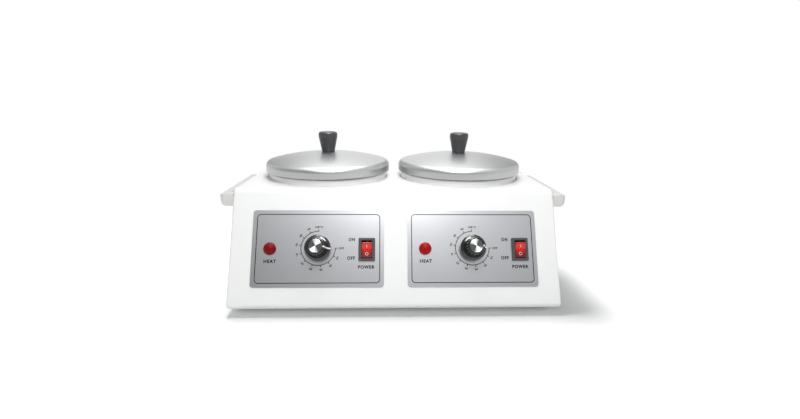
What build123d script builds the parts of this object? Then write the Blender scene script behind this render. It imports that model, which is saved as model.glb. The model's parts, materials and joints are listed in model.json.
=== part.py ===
from build123d import *
import os
from math import atan, cos, degrees, radians, sin, sqrt, tan

# Double wax warmer. A folded steel housing with a sloped front carries two heated wells side by
# side. Each well holds a lift-out pot with a domed lid, and has its own control plate with a
# lamp, a thermostat knob and a rocker switch. Millimetres, front towards -Y, +Z up, with the
# origin on the table under the middle of the whole object.

# Housing
housing_width = 300.0
housing_depth = 200.0
housing_height = 100.0
front_slope = 26.0
sheet = 1.2
fold_radius = 7.0
hem_radius = 4.0
edge_radius = 2.6
back_radius = 3.0
hem_width = 14.0
rear_sheet = 1.2
base_sheet = 1.0
cover_margin = 6.0
flat_gap = 0.1

# Feet
foot_height = 4.0
foot_radius = 8.0
foot_draft = 1.0
foot_inset = 24.0
foot_recess = 2.3
foot_recess_gap = 0.4

# Stations: one well, pot, lid and control plate each, with a gap between the two lids
station_gap = 10.4
station_depth = 122.0

# Collar ring
collar_height = 6.0
collar_land = 5.4
collar_round = 1.6
collar_spigot = 7.0
collar_wall = 2.3
collar_gap = 0.2

# Well
well_radius = 56.8
well_wall = 1.0
well_flange = 3.6
well_depth = 70.0
well_corner = 6.0
well_gap = 0.2

# Pot
pot_gap = 0.8
pot_wall = 0.9
pot_corner = 5.0
pot_floor_gap = 0.3
bead_radius = 2.0
bead_gap = 0.8
lip_height = 5.5
seat_gap = 0.3

# Lid
lid_overhang = 8.2
lid_sheet = 1.2
lid_height = 19.0
lid_dome_radius = 235.0
lid_shoulder = 4.0
lid_lift_gap = 0.9

# Lid knob and its screw
lid_knob_height = 20.9
lid_knob_base = 6.9
lid_knob_top = 9.95
lid_knob_round = 4.2
lid_knob_foot = 1.2
lid_knob_waist = 12.8
lid_knob_waist_inset = 0.7
lid_knob_shoulder = 16.1
lid_screw_bite = 12.0

# Control plate, with the places of what it carries measured from its centre
plate_width = 119.0
plate_height = 70.0
plate_sheet = 0.8
plate_corner = 3.0
plate_centre = 55.7
switch_across = 43.9
switch_up = -1.2
lamp_across = -43.3
lamp_up = -0.4

# Push-on tabs of the switches, thermostats and cut-outs
tab_width = 6.3
tab_sheet = 0.8
tab_length = 8.0
tab_root = 4.0

# Rocker switch
bezel_width = 15.0
bezel_length = 21.0
bezel_height = 2.0
bezel_round = 0.6
bezel_corner = 0.9
switch_width = 12.8
switch_length = 18.8
switch_depth = 17.0
switch_tab_width = 4.8
switch_tab_pitch = 6.0
cutout_gap = 0.15
rocker_width = 9.6
rocker_radius = 8.0
rocker_dish = 10.0
rocker_crown = 2.85
rocker_gap = 0.15
rocker_room = 1.5
rocker_skirt = 4.0
rocker_throw = 20.0
rocker_pin_radius = 1.0
rocker_pin_length = 0.8
running_gap = 0.05

# Indicator lamp
lens_radius = 5.9
lens_dome = 3.2
lens_edge = 1.0
lamp_radius = 4.9
lamp_wall = 0.6
lamp_depth = 18.0
lamp_hole_gap = 0.15
ring_width = 2.6
ring_thickness = 1.5
lamp_base = 2.0
lens_gap = 0.1
lens_spigot = 6.0
tail_width = 2.8
tail_sheet = 0.5
tail_length = 6.0
tail_pitch = 4.8

# Thermostat
bush_radius = 4.9
bush_stand = 3.6
bush_hole_gap = 0.15
nut_across = 14.0
nut_thickness = 2.4
thermostat_size = 30.0
thermostat_depth = 20.0
spindle_radius = 3.0
spindle_stand = 14.0
spindle_flat = 1.4
spindle_seat = 4.0
spindle_float = 0.1
thermostat_corner = 2.0
thermostat_tab_pitch = 16.0
thermostat_tab_drop = 5.0

# Control knob
knob_skirt_radius = 11.75
knob_height = 18.4
knob_clearance = 0.8
knob_skirt_height = 6.6
knob_grip_radius = 8.7
knob_grip_top = 7.6
knob_flutes = 18
knob_flute_radius = 0.95
knob_flute_proud = 0.35
knob_flute_land = 0.2
knob_wall = 1.6
knob_skirt_drop = 1.2
knob_skirt_land = 2.0
knob_end_round = 0.9
knob_rim_depth = 1.6
knob_nut_room = 8.4
knob_nut_depth = 4.6
knob_hub_radius = 5.0
knob_hub_gap = 0.5
knob_bush_gap = 0.3
spindle_end_gap = 0.4
cap_radius = 5.9
cap_thickness = 0.9
cap_proud = 0.35
cap_edge = 0.28

# Heater band
band_thickness = 2.4
band_height = 38.0
band_above_floor = 8.0
band_slit = 8.0
lug_length = 9.0
lug_thickness = 1.5
lug_height = 12.6
clamp_reach = 3.0

# Thermal cut-out and its bracket
cutout_radius = 8.0
cutout_height = 8.0
cutout_flange = 10.8
cutout_flange_sheet = 1.0
bracket_width = 20.0
bracket_half_span = 38.0
bracket_foot = 12.0

# Handles
handle_length = 108.0
handle_lead = 2.8
handle_drop = 5.0
handle_height = 11.0
handle_width = 12.4
handle_front_corner = 4.0
handle_rear_corner = 11.0
handle_under_round = 6.5
handle_top_round = 1.2
handle_slot = 5.0
slot_length = 66.0
slot_front = 12.0
handle_wall = 2.2
slot_corner = 1.5
tunnel_inset = 1.0
tunnel_corner = 1.0

# Mains inlet on the rear panel
inlet_flange = 2.5
inlet_width = 50.0
inlet_height = 24.0
inlet_body_width = 28.0
inlet_body_height = 20.0
inlet_body_depth = 20.0
socket_width = 24.4
socket_height = 16.4
socket_depth = 17.0
pin_pitch = 7.0
pin_stagger = 2.0
pin_length = 14.0
pin_width = 2.0
pin_height = 4.0
pin_tail = 8.0
pin_gap = 0.1
inlet_corner = 5.0
inlet_body_corner = 2.0
socket_key = 3.5
countersink = 1.5
countersink_gap = 0.1
inlet_screw_pitch = 40.0
inlet_rise = 30.0

# Terminal block
block_length = 58.0
block_depth = 17.0
block_height = 13.0
block_ways = 6
block_way_radius = 1.8
block_corner = 1.0
block_round = 0.8

# Screws
screw_radius = 1.5
screw_head_radius = 2.9
screw_head_height = 1.9
screw_head_drop = 0.7
screw_head_crown = 1.1
screw_point = 0.6
screw_hole_gap = 0.1
screw_length = 7.0

# Base plate vents
vent_count = 7
vent_width = 3.0
vent_length = 46.0
vent_pitch = 10.0

# Shared places
slope = radians(front_slope)
collar_radius = well_radius + collar_land
lid_radius = well_radius + lid_overhang
station_spacing = 2 * lid_radius + station_gap
z_base = foot_height
z_bottom = foot_height + base_sheet
z_top = z_bottom + housing_height
nose = hem_radius * ((1 + sin(slope)) / cos(slope) - 1)
y_front = -(housing_depth + inlet_flange + nose) / 2
y_back = y_front + housing_depth
y_shell = y_back - rear_sheet
y_fold = y_front + housing_height * tan(slope)
y_station = y_front + station_depth
z_collar = z_top + collar_height
z_floor = z_collar - well_depth
z_pot = z_floor + pot_floor_gap
z_lid = z_collar + lid_lift_gap
z_crown = z_lid + lid_height
lid_inner = lid_radius - lid_sheet
bead_centre = lid_inner - bead_gap - bead_radius
pot_radius = well_radius - well_wall - pot_gap
screw_hole = screw_radius + screw_hole_gap
pivot_height = 0.3
switch_top = plate_sheet + bezel_height
knob_foot = plate_sheet + knob_clearance
knob_top = knob_foot + knob_height
spindle_tip = bush_stand + spindle_stand
handle_top = z_top - handle_drop
handle_base = handle_top - handle_height
y_handle = y_fold - handle_lead
z_inlet = z_bottom + inlet_rise

# The slope's own frame: X across, Y up the slope from its bottom edge, Z outwards
panel = Plane(origin=(0, y_front, z_bottom), x_dir=(1, 0, 0), z_dir=(0, -cos(slope), sin(slope)))

# The inlet's own frame, seen from behind: X to the left of the object's front, Z outwards
inlet_place = Plane(origin=(0, y_back, z_inlet), x_dir=(-1, 0, 0), z_dir=(0, 1, 0))

SIDES = {"left": -1, "right": 1}


def station(side):
    """Place of a well's axis on the table."""
    return Pos(SIDES[side] * station_spacing / 2, y_station, 0)


def on_plate(side, across=0.0, up=0.0):
    """Place on the slope, measured from the centre of a control plate."""
    return panel * Pos(SIDES[side] * station_spacing / 2 + across, plate_centre + up, 0)


def disc(radius, low, high):
    """Cylinder about the Z axis between two heights."""
    return Pos(0, 0, low) * Cylinder(radius, high - low, align=(Align.CENTER, Align.CENTER, Align.MIN))


def taper(low_radius, high_radius, low, high):
    """Cone frustum about the Z axis between two heights."""
    frustum = Cone(low_radius, high_radius, high - low, align=(Align.CENTER, Align.CENTER, Align.MIN))
    return Pos(0, 0, low) * frustum


def ring(outer, inner, low, high):
    """Round sleeve about the Z axis between two heights."""
    return disc(outer, low, high) - disc(inner, low - 1, high + 1)


def block(width, length, low, high, corner=0.0):
    """Upright block about the Z axis, with rounded corners if asked."""
    outline = RectangleRounded(width, length, corner) if corner else Rectangle(width, length)
    return Pos(0, 0, low) * extrude(outline, high - low)


def turned(points):
    """Solid turned about the Z axis from (radius, height) points."""
    return revolve(Plane.XZ * make_face(Polyline(*points, close=True)), Axis.Z)


def edge_at(solid, axis, **place):
    """The straight edge along an axis that lies nearest to a place."""
    goal = Vector(place.get("x", 0), place.get("y", 0), place.get("z", 0))
    return solid.edges().filter_by(axis).sort_by(lambda edge: (edge.center() - goal).length)[0]


def pan_screw(length):
    """Pan-head screw: the head's seat at zero height, the head above and the shank below."""
    head = disc(screw_head_radius, 0, screw_head_height)
    head = chamfer(head.edges().sort_by(Axis.Z)[-1], screw_head_drop, screw_head_crown)
    shank = disc(screw_radius, -length, 0)
    return head + chamfer(shank.edges().sort_by(Axis.Z)[0], screw_point)


# Housing

def wedge(inset):
    """The housing's outer block, drawn in by one distance on every side, with rounded edges."""
    corners = [(y_front, z_bottom), (y_fold, z_top), (y_shell, z_top), (y_shell, z_bottom)]
    outline = make_face(Polyline(*corners, close=True))
    if inset:
        outline = offset(outline, -inset, kind=Kind.INTERSECTION)
    solid = extrude(Plane.YZ * outline, housing_width / 2 - inset, both=True)
    for corner, radius in zip(corners, (hem_radius, fold_radius, back_radius, back_radius)):
        solid = fillet(edge_at(solid, Axis.X, y=corner[0], z=corner[1]), radius - inset)
    sides = solid.faces().filter_by(Axis.X)
    return fillet([edge for face in sides for edge in face.edges()], edge_radius - inset)


def base_screw_places():
    """Base screws: three along the front flange and three along the rear one."""
    reach = housing_width / 2 - hem_width / 2 - cover_margin / 2
    front = y_front + hem_radius + hem_width / 2 + cover_margin / 2
    rear = y_shell - hem_width / 2 - cover_margin / 2
    return [(x, y) for x in (-reach, 0, reach) for y in (front, rear)]


def rear_screw_places():
    """Rear panel screws: three along its top and three along its bottom."""
    reach = housing_width / 2 - hem_width / 2 - cover_margin / 2
    inward = hem_width / 2 + cover_margin / 2
    return [(x, z) for x in (-reach, 0, reach) for z in (z_bottom + inward, z_top - inward)]


def handle_screw_places():
    """Heights and depths of a handle's two screws."""
    z = handle_base + handle_height / 2
    ends = (slot_front / 2, (handle_length + slot_front + slot_length) / 2)
    return [(y_handle + end, z) for end in ends]


def panel_cutters(side):
    """What a control plate's fittings need cut out of the slope."""
    reach = 2 * (sheet + plate_sheet)
    switch = block(switch_width + 2 * cutout_gap, switch_length + 2 * cutout_gap, -reach, reach)
    lamp = disc(lamp_radius + lamp_hole_gap, -reach, reach)
    bush = disc(bush_radius + bush_hole_gap, -reach, reach)
    return [
        on_plate(side, switch_across, switch_up) * switch,
        on_plate(side, lamp_across, lamp_up) * lamp,
        on_plate(side) * bush,
    ]


def housing_shell():
    """Folded sheet housing: open below and behind, with flanges that take the two covers."""
    shell = wedge(0) - wedge(sheet)
    window_front = y_front + hem_radius + hem_width
    window_rear = y_shell - hem_width
    length = window_rear - window_front
    below = Box(housing_width - 2 * hem_width, length, 4 * sheet)
    behind = Box(housing_width - 2 * hem_width, 4 * sheet, housing_height - 2 * hem_width)
    shell -= Pos(0, window_front + length / 2, z_bottom) * below
    shell -= Pos(0, y_shell, (z_bottom + z_top) / 2) * behind
    for side in SIDES:
        shell -= station(side) * disc(collar_radius - collar_wall, z_top - 4 * sheet, z_top + 1)
        shell -= panel_cutters(side)
    upright = disc(screw_hole, z_base, z_bottom + 3 * sheet)
    shell -= [Pos(x, y, 0) * upright for x, y in base_screw_places()]
    bore = Rot(90, 0, 0) * disc(screw_hole, -sheet, 3 * sheet)
    shell -= [Pos(x, y_shell, z) * bore for x, z in rear_screw_places()]
    across = Rot(0, 90, 0) * disc(screw_hole, -housing_width, housing_width)
    shell -= [Pos(0, y, z) * across for y, z in handle_screw_places()]
    return shell


def base_plate():
    """Vented base plate that closes the housing from below and carries the feet."""
    front = y_front + hem_radius + cover_margin
    rear = y_shell - cover_margin
    plate = block(housing_width - 2 * cover_margin, rear - front, z_base, z_bottom, cover_margin)
    plate = Pos(0, (front + rear) / 2, 0) * plate
    slot = extrude(SlotOverall(vent_length, vent_width), 2 * base_sheet, both=True)
    middle = (vent_count - 1) / 2
    for side in SIDES:
        row = [Pos(0, (i - middle) * vent_pitch, z_base) * slot for i in range(vent_count)]
        plate -= [station(side) * cutter for cutter in row]
    places = base_screw_places() + foot_places()
    return plate - [Pos(x, y, 0) * disc(screw_hole, 0, 2 * z_bottom) for x, y in places]


def rear_panel():
    """Flat rear panel with the inlet's cut-out."""
    width = housing_width - 2 * cover_margin
    height = housing_height - 2 * cover_margin
    upright = Plane(origin=(0, y_shell, (z_bottom + z_top) / 2), x_dir=(-1, 0, 0), z_dir=(0, 1, 0))
    cover = upright * block(width, height, 0, rear_sheet, cover_margin)
    hole = Box(inlet_body_width + 2 * cutout_gap, 4 * rear_sheet, inlet_body_height + 2 * cutout_gap)
    cover -= Pos(0, y_shell, z_inlet) * hole
    bore = Rot(90, 0, 0) * disc(screw_hole, -3 * rear_sheet, rear_sheet)
    cover -= [Pos(x, y_shell, z) * bore for x, z in rear_screw_places()]
    return cover - [Pos(x, y_shell, z_inlet) * bore for x in inlet_screw_places()]


def foot_places():
    """Centres of the four feet."""
    reach = housing_width / 2 - foot_inset
    front = y_front + hem_radius + foot_inset
    rear = y_shell - foot_inset
    return [(-reach, front), (reach, front), (-reach, rear), (reach, rear)]


def foot():
    """Rubber foot, wider at its top, with a recess that hides its screw's head."""
    body = taper(foot_radius - foot_draft, foot_radius, 0, foot_height)
    recess = disc(screw_head_radius + foot_recess_gap, -1, foot_recess)
    return body - recess - disc(screw_hole, 0, 2 * foot_height)


# Stations

def collar_ring():
    """Heat-proof ring that lines an opening, stands proud of the top and seats the well."""
    hole = collar_radius - collar_wall - collar_gap
    inner = well_radius + well_gap
    rebate = well_radius + well_flange + well_gap
    seat = z_collar - well_wall
    low = z_top - collar_spigot
    body = turned([
        (inner, low), (hole, low), (hole, z_top), (collar_radius, z_top), (collar_radius, z_collar),
        (rebate, z_collar), (rebate, seat), (inner, seat),
    ])
    rim = body.edges().filter_by(GeomType.CIRCLE).group_by(Axis.Z)[-1].sort_by(lambda e: e.radius)[-1]
    return fillet(rim, min(collar_round, (collar_radius - rebate) * 0.7))


def cup(radius, low, high, corner):
    """Solid cup form: a cylinder with a rounded bottom edge."""
    body = disc(radius, low, high)
    return fillet(body.edges().sort_by(Axis.Z)[0], corner)


def well():
    """Drawn aluminium well that hangs in the collar by its flange."""
    outer = cup(well_radius, z_floor - well_wall, z_collar, well_corner)
    flange = disc(well_radius + well_flange, z_collar - well_wall, z_collar)
    return outer + flange - cup(well_radius - well_wall, z_floor, z_collar + 1, well_corner - well_wall)


def pot():
    """Lift-out pot: straight wall, flared lip and a rolled bead that carries the lid."""
    z_bead = bead_height()
    z_lip = z_bead - lip_height
    bore = pot_radius - pot_wall
    heel, floor = (pot_radius, z_pot), (bore, z_pot + pot_wall)
    wall = make_face(Polyline(
        (0, z_pot), heel, (pot_radius, z_lip), (bead_centre, z_bead), (bead_centre - pot_wall, z_bead),
        (bore, z_lip), floor, (0, z_pot + pot_wall), close=True,
    ))
    for corner, radius in ((heel, pot_corner), (floor, pot_corner - pot_wall)):
        wall = fillet(wall.vertices().sort_by_distance(corner)[0], radius)
    bead = Pos(bead_centre, z_bead) * Circle(bead_radius)
    return revolve(Plane.XZ * (wall + bead), Axis.Z)


def dome_height(radius, inset):
    """Height of the lid's dome at a radius, on a surface drawn in by one distance."""
    sphere = lid_dome_radius - inset
    return z_crown - lid_dome_radius + sqrt(sphere ** 2 - radius ** 2)


def bead_height():
    """Height of the bead's centre that leaves the seat gap under the lid."""
    reach = bead_radius + seat_gap
    return dome_height(bead_centre, lid_sheet + reach) - lid_shoulder_drop()


def lid_shoulder_drop():
    """How far the rounded shoulder lowers the lid's inside above the bead."""
    inner_round = lid_shoulder - lid_sheet
    start = lid_inner - inner_round
    return max(0.0, bead_centre - start) ** 2 / (2 * inner_round)


def lid_form(inset):
    """Domed lid block drawn in by one distance: a cylinder under part of a sphere."""
    radius = lid_radius - inset
    low = z_lid - (1 if inset else 0)
    rim, halfway, crown = [(r, dome_height(r, inset)) for r in (radius, radius / 2, 0)]
    dome = ThreePointArc(rim, halfway, crown)
    outline = make_face([Polyline(crown, (0, low), (radius, low), rim), dome])
    shoulder = outline.vertices().sort_by_distance(rim)[0]
    return revolve(Plane.XZ * fillet(shoulder, lid_shoulder - inset), Axis.Z)


def lid():
    """Spun aluminium lid with a skirt, a rounded shoulder, a shallow dome and a knob hole."""
    return lid_form(0) - lid_form(lid_sheet) - disc(screw_hole, z_lid, z_crown + 1)


def lid_knob():
    """Tapered knob, narrow at its foot, with a blind hole for its screw."""
    body = turned([
        (0, 0), (lid_knob_base, 0), (lid_knob_base, lid_knob_foot),
        (lid_knob_top - lid_knob_waist_inset, lid_knob_waist), (lid_knob_top, lid_knob_shoulder),
        (lid_knob_top, lid_knob_height), (0, lid_knob_height),
    ])
    rim = body.edges().filter_by(GeomType.CIRCLE).sort_by(Axis.Z)[-1]
    body = fillet(rim, lid_knob_round)
    return Pos(0, 0, z_crown) * (body - disc(screw_hole, -1, lid_screw_bite))


def lid_screw():
    """Screw that holds the lid knob from inside the lid."""
    under = dome_height(screw_head_radius, lid_sheet + running_gap)
    return Pos(0, 0, under) * Rot(180, 0, 0) * pan_screw(lid_screw_bite)


def heater_band():
    """Clamped heater band round the well, slit at the rear, with two lugs for its screw."""
    inner = well_radius + flat_gap
    low = z_floor + band_above_floor
    high = low + band_height
    outer = inner + band_thickness
    band = ring(outer, inner, low, high)
    lug_reach = outer + lug_length
    lug = Pos(0, lug_reach / 2, (low + high) / 2) * Box(lug_thickness, lug_reach, lug_height)
    for sign in (-1, 1):
        band += Pos(sign * (band_slit + lug_thickness) / 2, 0, 0) * lug - disc(inner, low, high)
    band -= Pos(0, outer, (low + high) / 2) * Box(band_slit, 2 * band_thickness + 2, band_height + 2)
    across = Rot(0, 90, 0) * disc(screw_hole, -band_slit * 2, band_slit * 2)
    return band - Pos(0, outer + lug_length / 2, (low + high) / 2) * across


def clamp_screw():
    """Screw that draws the two lugs of a heater band together."""
    middle = z_floor + band_above_floor + band_height / 2
    reach = well_radius + flat_gap + band_thickness + lug_length / 2
    seat = band_slit / 2 + lug_thickness
    return Pos(seat, reach, middle) * Rot(0, 90, 0) * pan_screw(2 * seat + clamp_reach)


def thermal_cutout():
    """Button-shaped cut-out that touches the well's floor, with two terminal tabs."""
    high = z_floor - well_wall
    body = disc(cutout_radius, high - cutout_height, high)
    body += disc(cutout_flange, high - cutout_flange_sheet, high)
    tab = Box(tab_width, tab_sheet, cutout_height - cutout_flange_sheet)
    low = high - cutout_height / 2 - cutout_flange_sheet / 2
    return body + [Pos(sign * cutout_flange, 0, low) * tab for sign in (-1, 1)]


def well_bracket():
    """Bent strap on the base plate that holds the cut-out up against the well."""
    under = z_floor - well_wall - cutout_height
    high = under - z_bottom
    outside = bracket_half_span
    profile = [
        (-outside - bracket_foot, 0), (-outside - bracket_foot, sheet), (-outside, sheet), (-outside, high),
        (outside, high), (outside, sheet), (outside + bracket_foot, sheet), (outside + bracket_foot, 0),
        (outside - sheet, 0), (outside - sheet, high - sheet), (-outside + sheet, high - sheet),
        (-outside + sheet, 0),
    ]
    strap = extrude(Plane.XZ * make_face(Polyline(*profile, close=True)), bracket_width / 2, both=True)
    return Pos(0, 0, z_bottom) * strap


# Controls, drawn in the slope's own frame with zero height on the housing's outer face

def control_plate(side):
    """Thin aluminium plate on the slope, cut out for its three fittings."""
    plate = on_plate(side) * block(plate_width, plate_height, 0, plate_sheet, plate_corner)
    return plate - panel_cutters(side)


def power_switch():
    """Switch body: a bezel on the plate, an open well for the rocker and three tabs behind."""
    bezel = block(bezel_width, bezel_length, plate_sheet, switch_top, bezel_corner)
    bezel = fillet(bezel.faces().sort_by(Axis.Z)[-1].edges(), bezel_round)
    body = bezel + block(switch_width, switch_length, -switch_depth, plate_sheet)
    mouth = 2 * (rocker_radius + rocker_gap)
    body -= block(rocker_width + 2 * rocker_gap, mouth, -rocker_radius - rocker_room, switch_top + 1)
    pin = rocker_pin_radius + running_gap
    length = rocker_width + 2 * (rocker_pin_length + running_gap)
    body -= Pos(0, 0, pivot_height) * Rot(0, 90, 0) * disc(pin, -length / 2, length / 2)
    tab = Pos(0, 0, -switch_depth - tab_length + tab_root) * Box(switch_tab_width, tab_sheet, tab_length)
    return body + [Pos(0, row * switch_tab_pitch, 0) * tab for row in (-1, 0, 1)]


def rocker():
    """Dished rocker whose ends are turned about its pivot, shown with its lower end pressed."""
    half = rocker_radius + 1
    high = rocker_crown + half * tan(radians(rocker_dish))
    outline = [(-half, high), (0, rocker_crown), (half, high), (half, -rocker_skirt), (-half, -rocker_skirt)]
    dished = extrude(Plane.YZ * make_face(Polyline(*outline, close=True)), rocker_width / 2, both=True)
    swept = Rot(0, 90, 0) * disc(rocker_radius, -rocker_width, rocker_width)
    pin_reach = rocker_width / 2 + rocker_pin_length
    body = (dished & swept) + Rot(0, 90, 0) * disc(rocker_pin_radius, -pin_reach, pin_reach)
    return Pos(0, 0, pivot_height) * Rot(rocker_throw / 2, 0, 0) * body


def lamp_body():
    """Open-ended lamp holder with two tails behind."""
    tube = ring(lamp_radius, lamp_radius - lamp_wall, -lamp_depth, plate_sheet)
    tube += disc(lamp_radius, -lamp_depth, -lamp_depth + lamp_base)
    tail = Pos(0, 0, -lamp_depth - tail_length / 2) * Box(tail_width, tail_sheet, tail_length)
    return tube + [Pos(sign * tail_pitch / 2, 0, 0) * tail for sign in (-1, 1)]


def lamp_lens():
    """Domed lens whose edge rests on the plate, with a spigot in the holder."""
    edge = disc(lens_radius, plate_sheet, plate_sheet + lens_edge)
    cap_sphere = (lens_radius ** 2 + lens_dome ** 2) / (2 * lens_dome)
    dome = Pos(0, 0, plate_sheet + lens_edge + lens_dome - cap_sphere) * Sphere(cap_sphere)
    dome &= disc(lens_radius, plate_sheet + lens_edge, plate_sheet + lens_edge + lens_dome + 1)
    spigot = disc(lamp_radius - lamp_wall - lens_gap, -lens_spigot, plate_sheet)
    return edge + dome + spigot


def lamp_ring():
    """Retaining ring that grips the holder behind the sheet."""
    return ring(lamp_radius + ring_width, lamp_radius + running_gap, -sheet - ring_thickness, -sheet)


def thermostat():
    """Thermostat: a square body behind the sheet, a threaded bush through it and two tabs."""
    deep = -sheet - thermostat_depth
    body = block(thermostat_size, thermostat_size, deep, -sheet, thermostat_corner)
    body += disc(bush_radius, deep, bush_stand + plate_sheet)
    body -= disc(spindle_radius + running_gap, deep + spindle_seat, bush_stand + plate_sheet + 1)
    tab = Pos(0, -thermostat_tab_drop, deep - tab_length + tab_root) * Box(tab_sheet, tab_width, tab_length)
    return body + [Pos(sign * thermostat_tab_pitch / 2, 0, 0) * tab for sign in (-1, 1)]


def thermostat_nut():
    """Hexagon nut that clamps the bush to the plate, hidden under the knob."""
    hexagon = extrude(RegularPolygon(nut_across / 2, 6, major_radius=False), nut_thickness)
    return Pos(0, 0, plate_sheet) * hexagon - disc(bush_radius + running_gap, 0, bush_stand + 2)


def flatted(radius, flat, low, high):
    """Round bar with one flat, as a knob's spindle has."""
    bar = disc(radius, low, high)
    return bar - Pos(0, radius + flat, (low + high) / 2) * Box(4 * radius, 2 * radius, high - low + 1)


def thermostat_spindle():
    """Spindle that turns in the bush, with a flat for the knob."""
    foot_end = -sheet - thermostat_depth + spindle_seat + spindle_float
    bush_top = bush_stand + plate_sheet
    plain = disc(spindle_radius, foot_end, bush_top)
    return plain + flatted(spindle_radius, spindle_flat, bush_top, spindle_tip)


def control_knob():
    """Skirted knob with a fluted grip, hollow below, with a hub bored for the spindle."""
    skirt = disc(knob_skirt_radius, knob_foot, knob_foot + knob_skirt_height)
    skirt = chamfer(skirt.edges().sort_by(Axis.Z)[-1], knob_skirt_drop, knob_skirt_land)
    grip_foot = knob_foot + knob_skirt_height
    grip = taper(knob_grip_radius, knob_grip_top, grip_foot, knob_top)
    grip = fillet(grip.edges().sort_by(Axis.Z)[-1], knob_end_round)
    lean = degrees(atan((knob_grip_radius - knob_grip_top) / (knob_top - grip_foot)))
    cutter = Pos(knob_grip_radius + knob_flute_proud, 0, grip_foot) * Rot(0, -lean, 0)
    flute = cutter * disc(knob_flute_radius, knob_flute_land, 3 * knob_height)
    grip -= [Rot(0, 0, 360 * (i + 0.5) / knob_flutes) * flute for i in range(knob_flutes)]
    knob = skirt + grip
    knob -= disc(knob_skirt_radius - knob_wall, knob_foot - 1, knob_foot + knob_rim_depth)
    nut_room = disc(knob_nut_room, knob_foot, knob_foot + knob_nut_depth)
    knob -= nut_room - disc(knob_hub_radius, 0, knob_top)
    bush_room = bush_stand + plate_sheet + knob_bush_gap
    knob -= disc(knob_hub_radius + knob_hub_gap, knob_foot - 1, bush_room)
    knob -= flatted(spindle_radius + running_gap, spindle_flat, 0, spindle_tip + spindle_end_gap)
    return knob - disc(cap_radius + running_gap, knob_top - cap_thickness + cap_proud, knob_top + 1)


def knob_cap():
    """Turned aluminium disc let into the knob's end."""
    low = knob_top - cap_thickness + cap_proud
    cap = disc(cap_radius, low, low + cap_thickness)
    return chamfer(cap.edges().sort_by(Axis.Z)[-1], cap_edge)


# Handles

def handle_outline():
    """Handle's plan: its housing side on X zero, with its two outer corners rounded."""
    plan = Pos(handle_width / 2, 0) * Rectangle(handle_width, handle_length)
    for end, radius in ((-1, handle_front_corner), (1, handle_rear_corner)):
        corner = plan.vertices().sort_by_distance((handle_width, end * handle_length / 2))[0]
        plan = fillet(corner, radius)
    return plan


def handle_section():
    """Handle's cross-section: flat on top, with its outer side turned in below."""
    section = Pos(handle_width / 2, handle_height / 2) * Rectangle(handle_width, handle_height)
    lower = section.vertices().sort_by_distance((handle_width, 0))[0]
    section = fillet(lower, handle_under_round)
    upper = section.vertices().sort_by_distance((handle_width, handle_height))[0]
    return fillet(upper, handle_top_round)


def handle(side):
    """Moulded carry handle: a hollow bar that stands off the side, with a finger slot."""
    tall = Pos(0, 0, -1) * extrude(handle_outline(), handle_height + 2)
    body = extrude(Plane.XZ * handle_section(), handle_length / 2, both=True) & tall
    slot_middle = -handle_length / 2 + slot_front + slot_length / 2
    slot = block(handle_slot + 2, slot_length, -1, handle_height + 1, slot_corner)
    body -= Pos(handle_slot / 2 - 1, slot_middle, 0) * slot
    tunnel = handle_width - handle_slot - 2 * handle_wall
    length = slot_length - 2 * tunnel_inset
    hollow = block(tunnel, length, -1, handle_height - handle_wall, tunnel_corner)
    body -= Pos(handle_slot + handle_wall + tunnel / 2, slot_middle, 0) * hollow
    middle = y_handle + handle_length / 2
    pilot = Rot(0, 90, 0) * disc(screw_hole, -1, screw_length)
    body -= [Pos(0, y - middle, z - handle_base) * pilot for y, z in handle_screw_places()]
    placed = Pos(housing_width / 2, middle, handle_base) * body
    return placed if SIDES[side] > 0 else mirror(placed, Plane.YZ)


# Inlet and wiring

def mains_inlet():
    """Appliance inlet: a flange on the rear panel, a socket recess and a body inside."""
    flange = block(inlet_width, inlet_height, 0, inlet_flange, inlet_corner)
    body = flange + block(inlet_body_width, inlet_body_height, -inlet_body_depth, 0, inlet_body_corner)
    socket = block(socket_width, socket_height, inlet_flange - socket_depth, inlet_flange + 1)
    top_corners = socket.edges().filter_by(Axis.Z).group_by(Axis.Y)[-1]
    body -= chamfer(top_corners, socket_key)
    back = inlet_flange - socket_depth
    hole = block(pin_width + 2 * pin_gap, pin_height + 2 * pin_gap, -2 * inlet_body_depth, back + 1)
    body -= [Pos(x, y, 0) * hole for x, y in pin_places()]
    mouth = screw_head_radius + 2 * countersink_gap
    bore = disc(screw_hole, -1, inlet_flange + 1)
    bore += taper(screw_hole, mouth, inlet_flange - countersink, inlet_flange)
    return inlet_place * (body - [Pos(x, 0, 0) * bore for x in inlet_screw_places()])


def inlet_screw_places():
    """How far the inlet's two screws stand from its middle."""
    return (-inlet_screw_pitch / 2, inlet_screw_pitch / 2)


def pin_places():
    """The inlet's three pins, seen from behind the object: two live ones and the earth."""
    return [(-pin_pitch, -pin_stagger), (pin_pitch, -pin_stagger), (0, pin_stagger)]


def inlet_pins():
    """Three flat pins that stand in the socket and end as tabs inside."""
    tip = inlet_flange - socket_depth + pin_length
    pin = block(pin_width, pin_height, -inlet_body_depth - pin_tail, tip)
    return [inlet_place * Pos(x, y, 0) * pin for x, y in pin_places()]


def inlet_screw():
    """Countersunk screw of the inlet, its head flush with the flange."""
    neck = countersink_gap - countersink
    return taper(screw_radius, screw_head_radius, neck, 0) + disc(screw_radius, -screw_length, neck)


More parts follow.
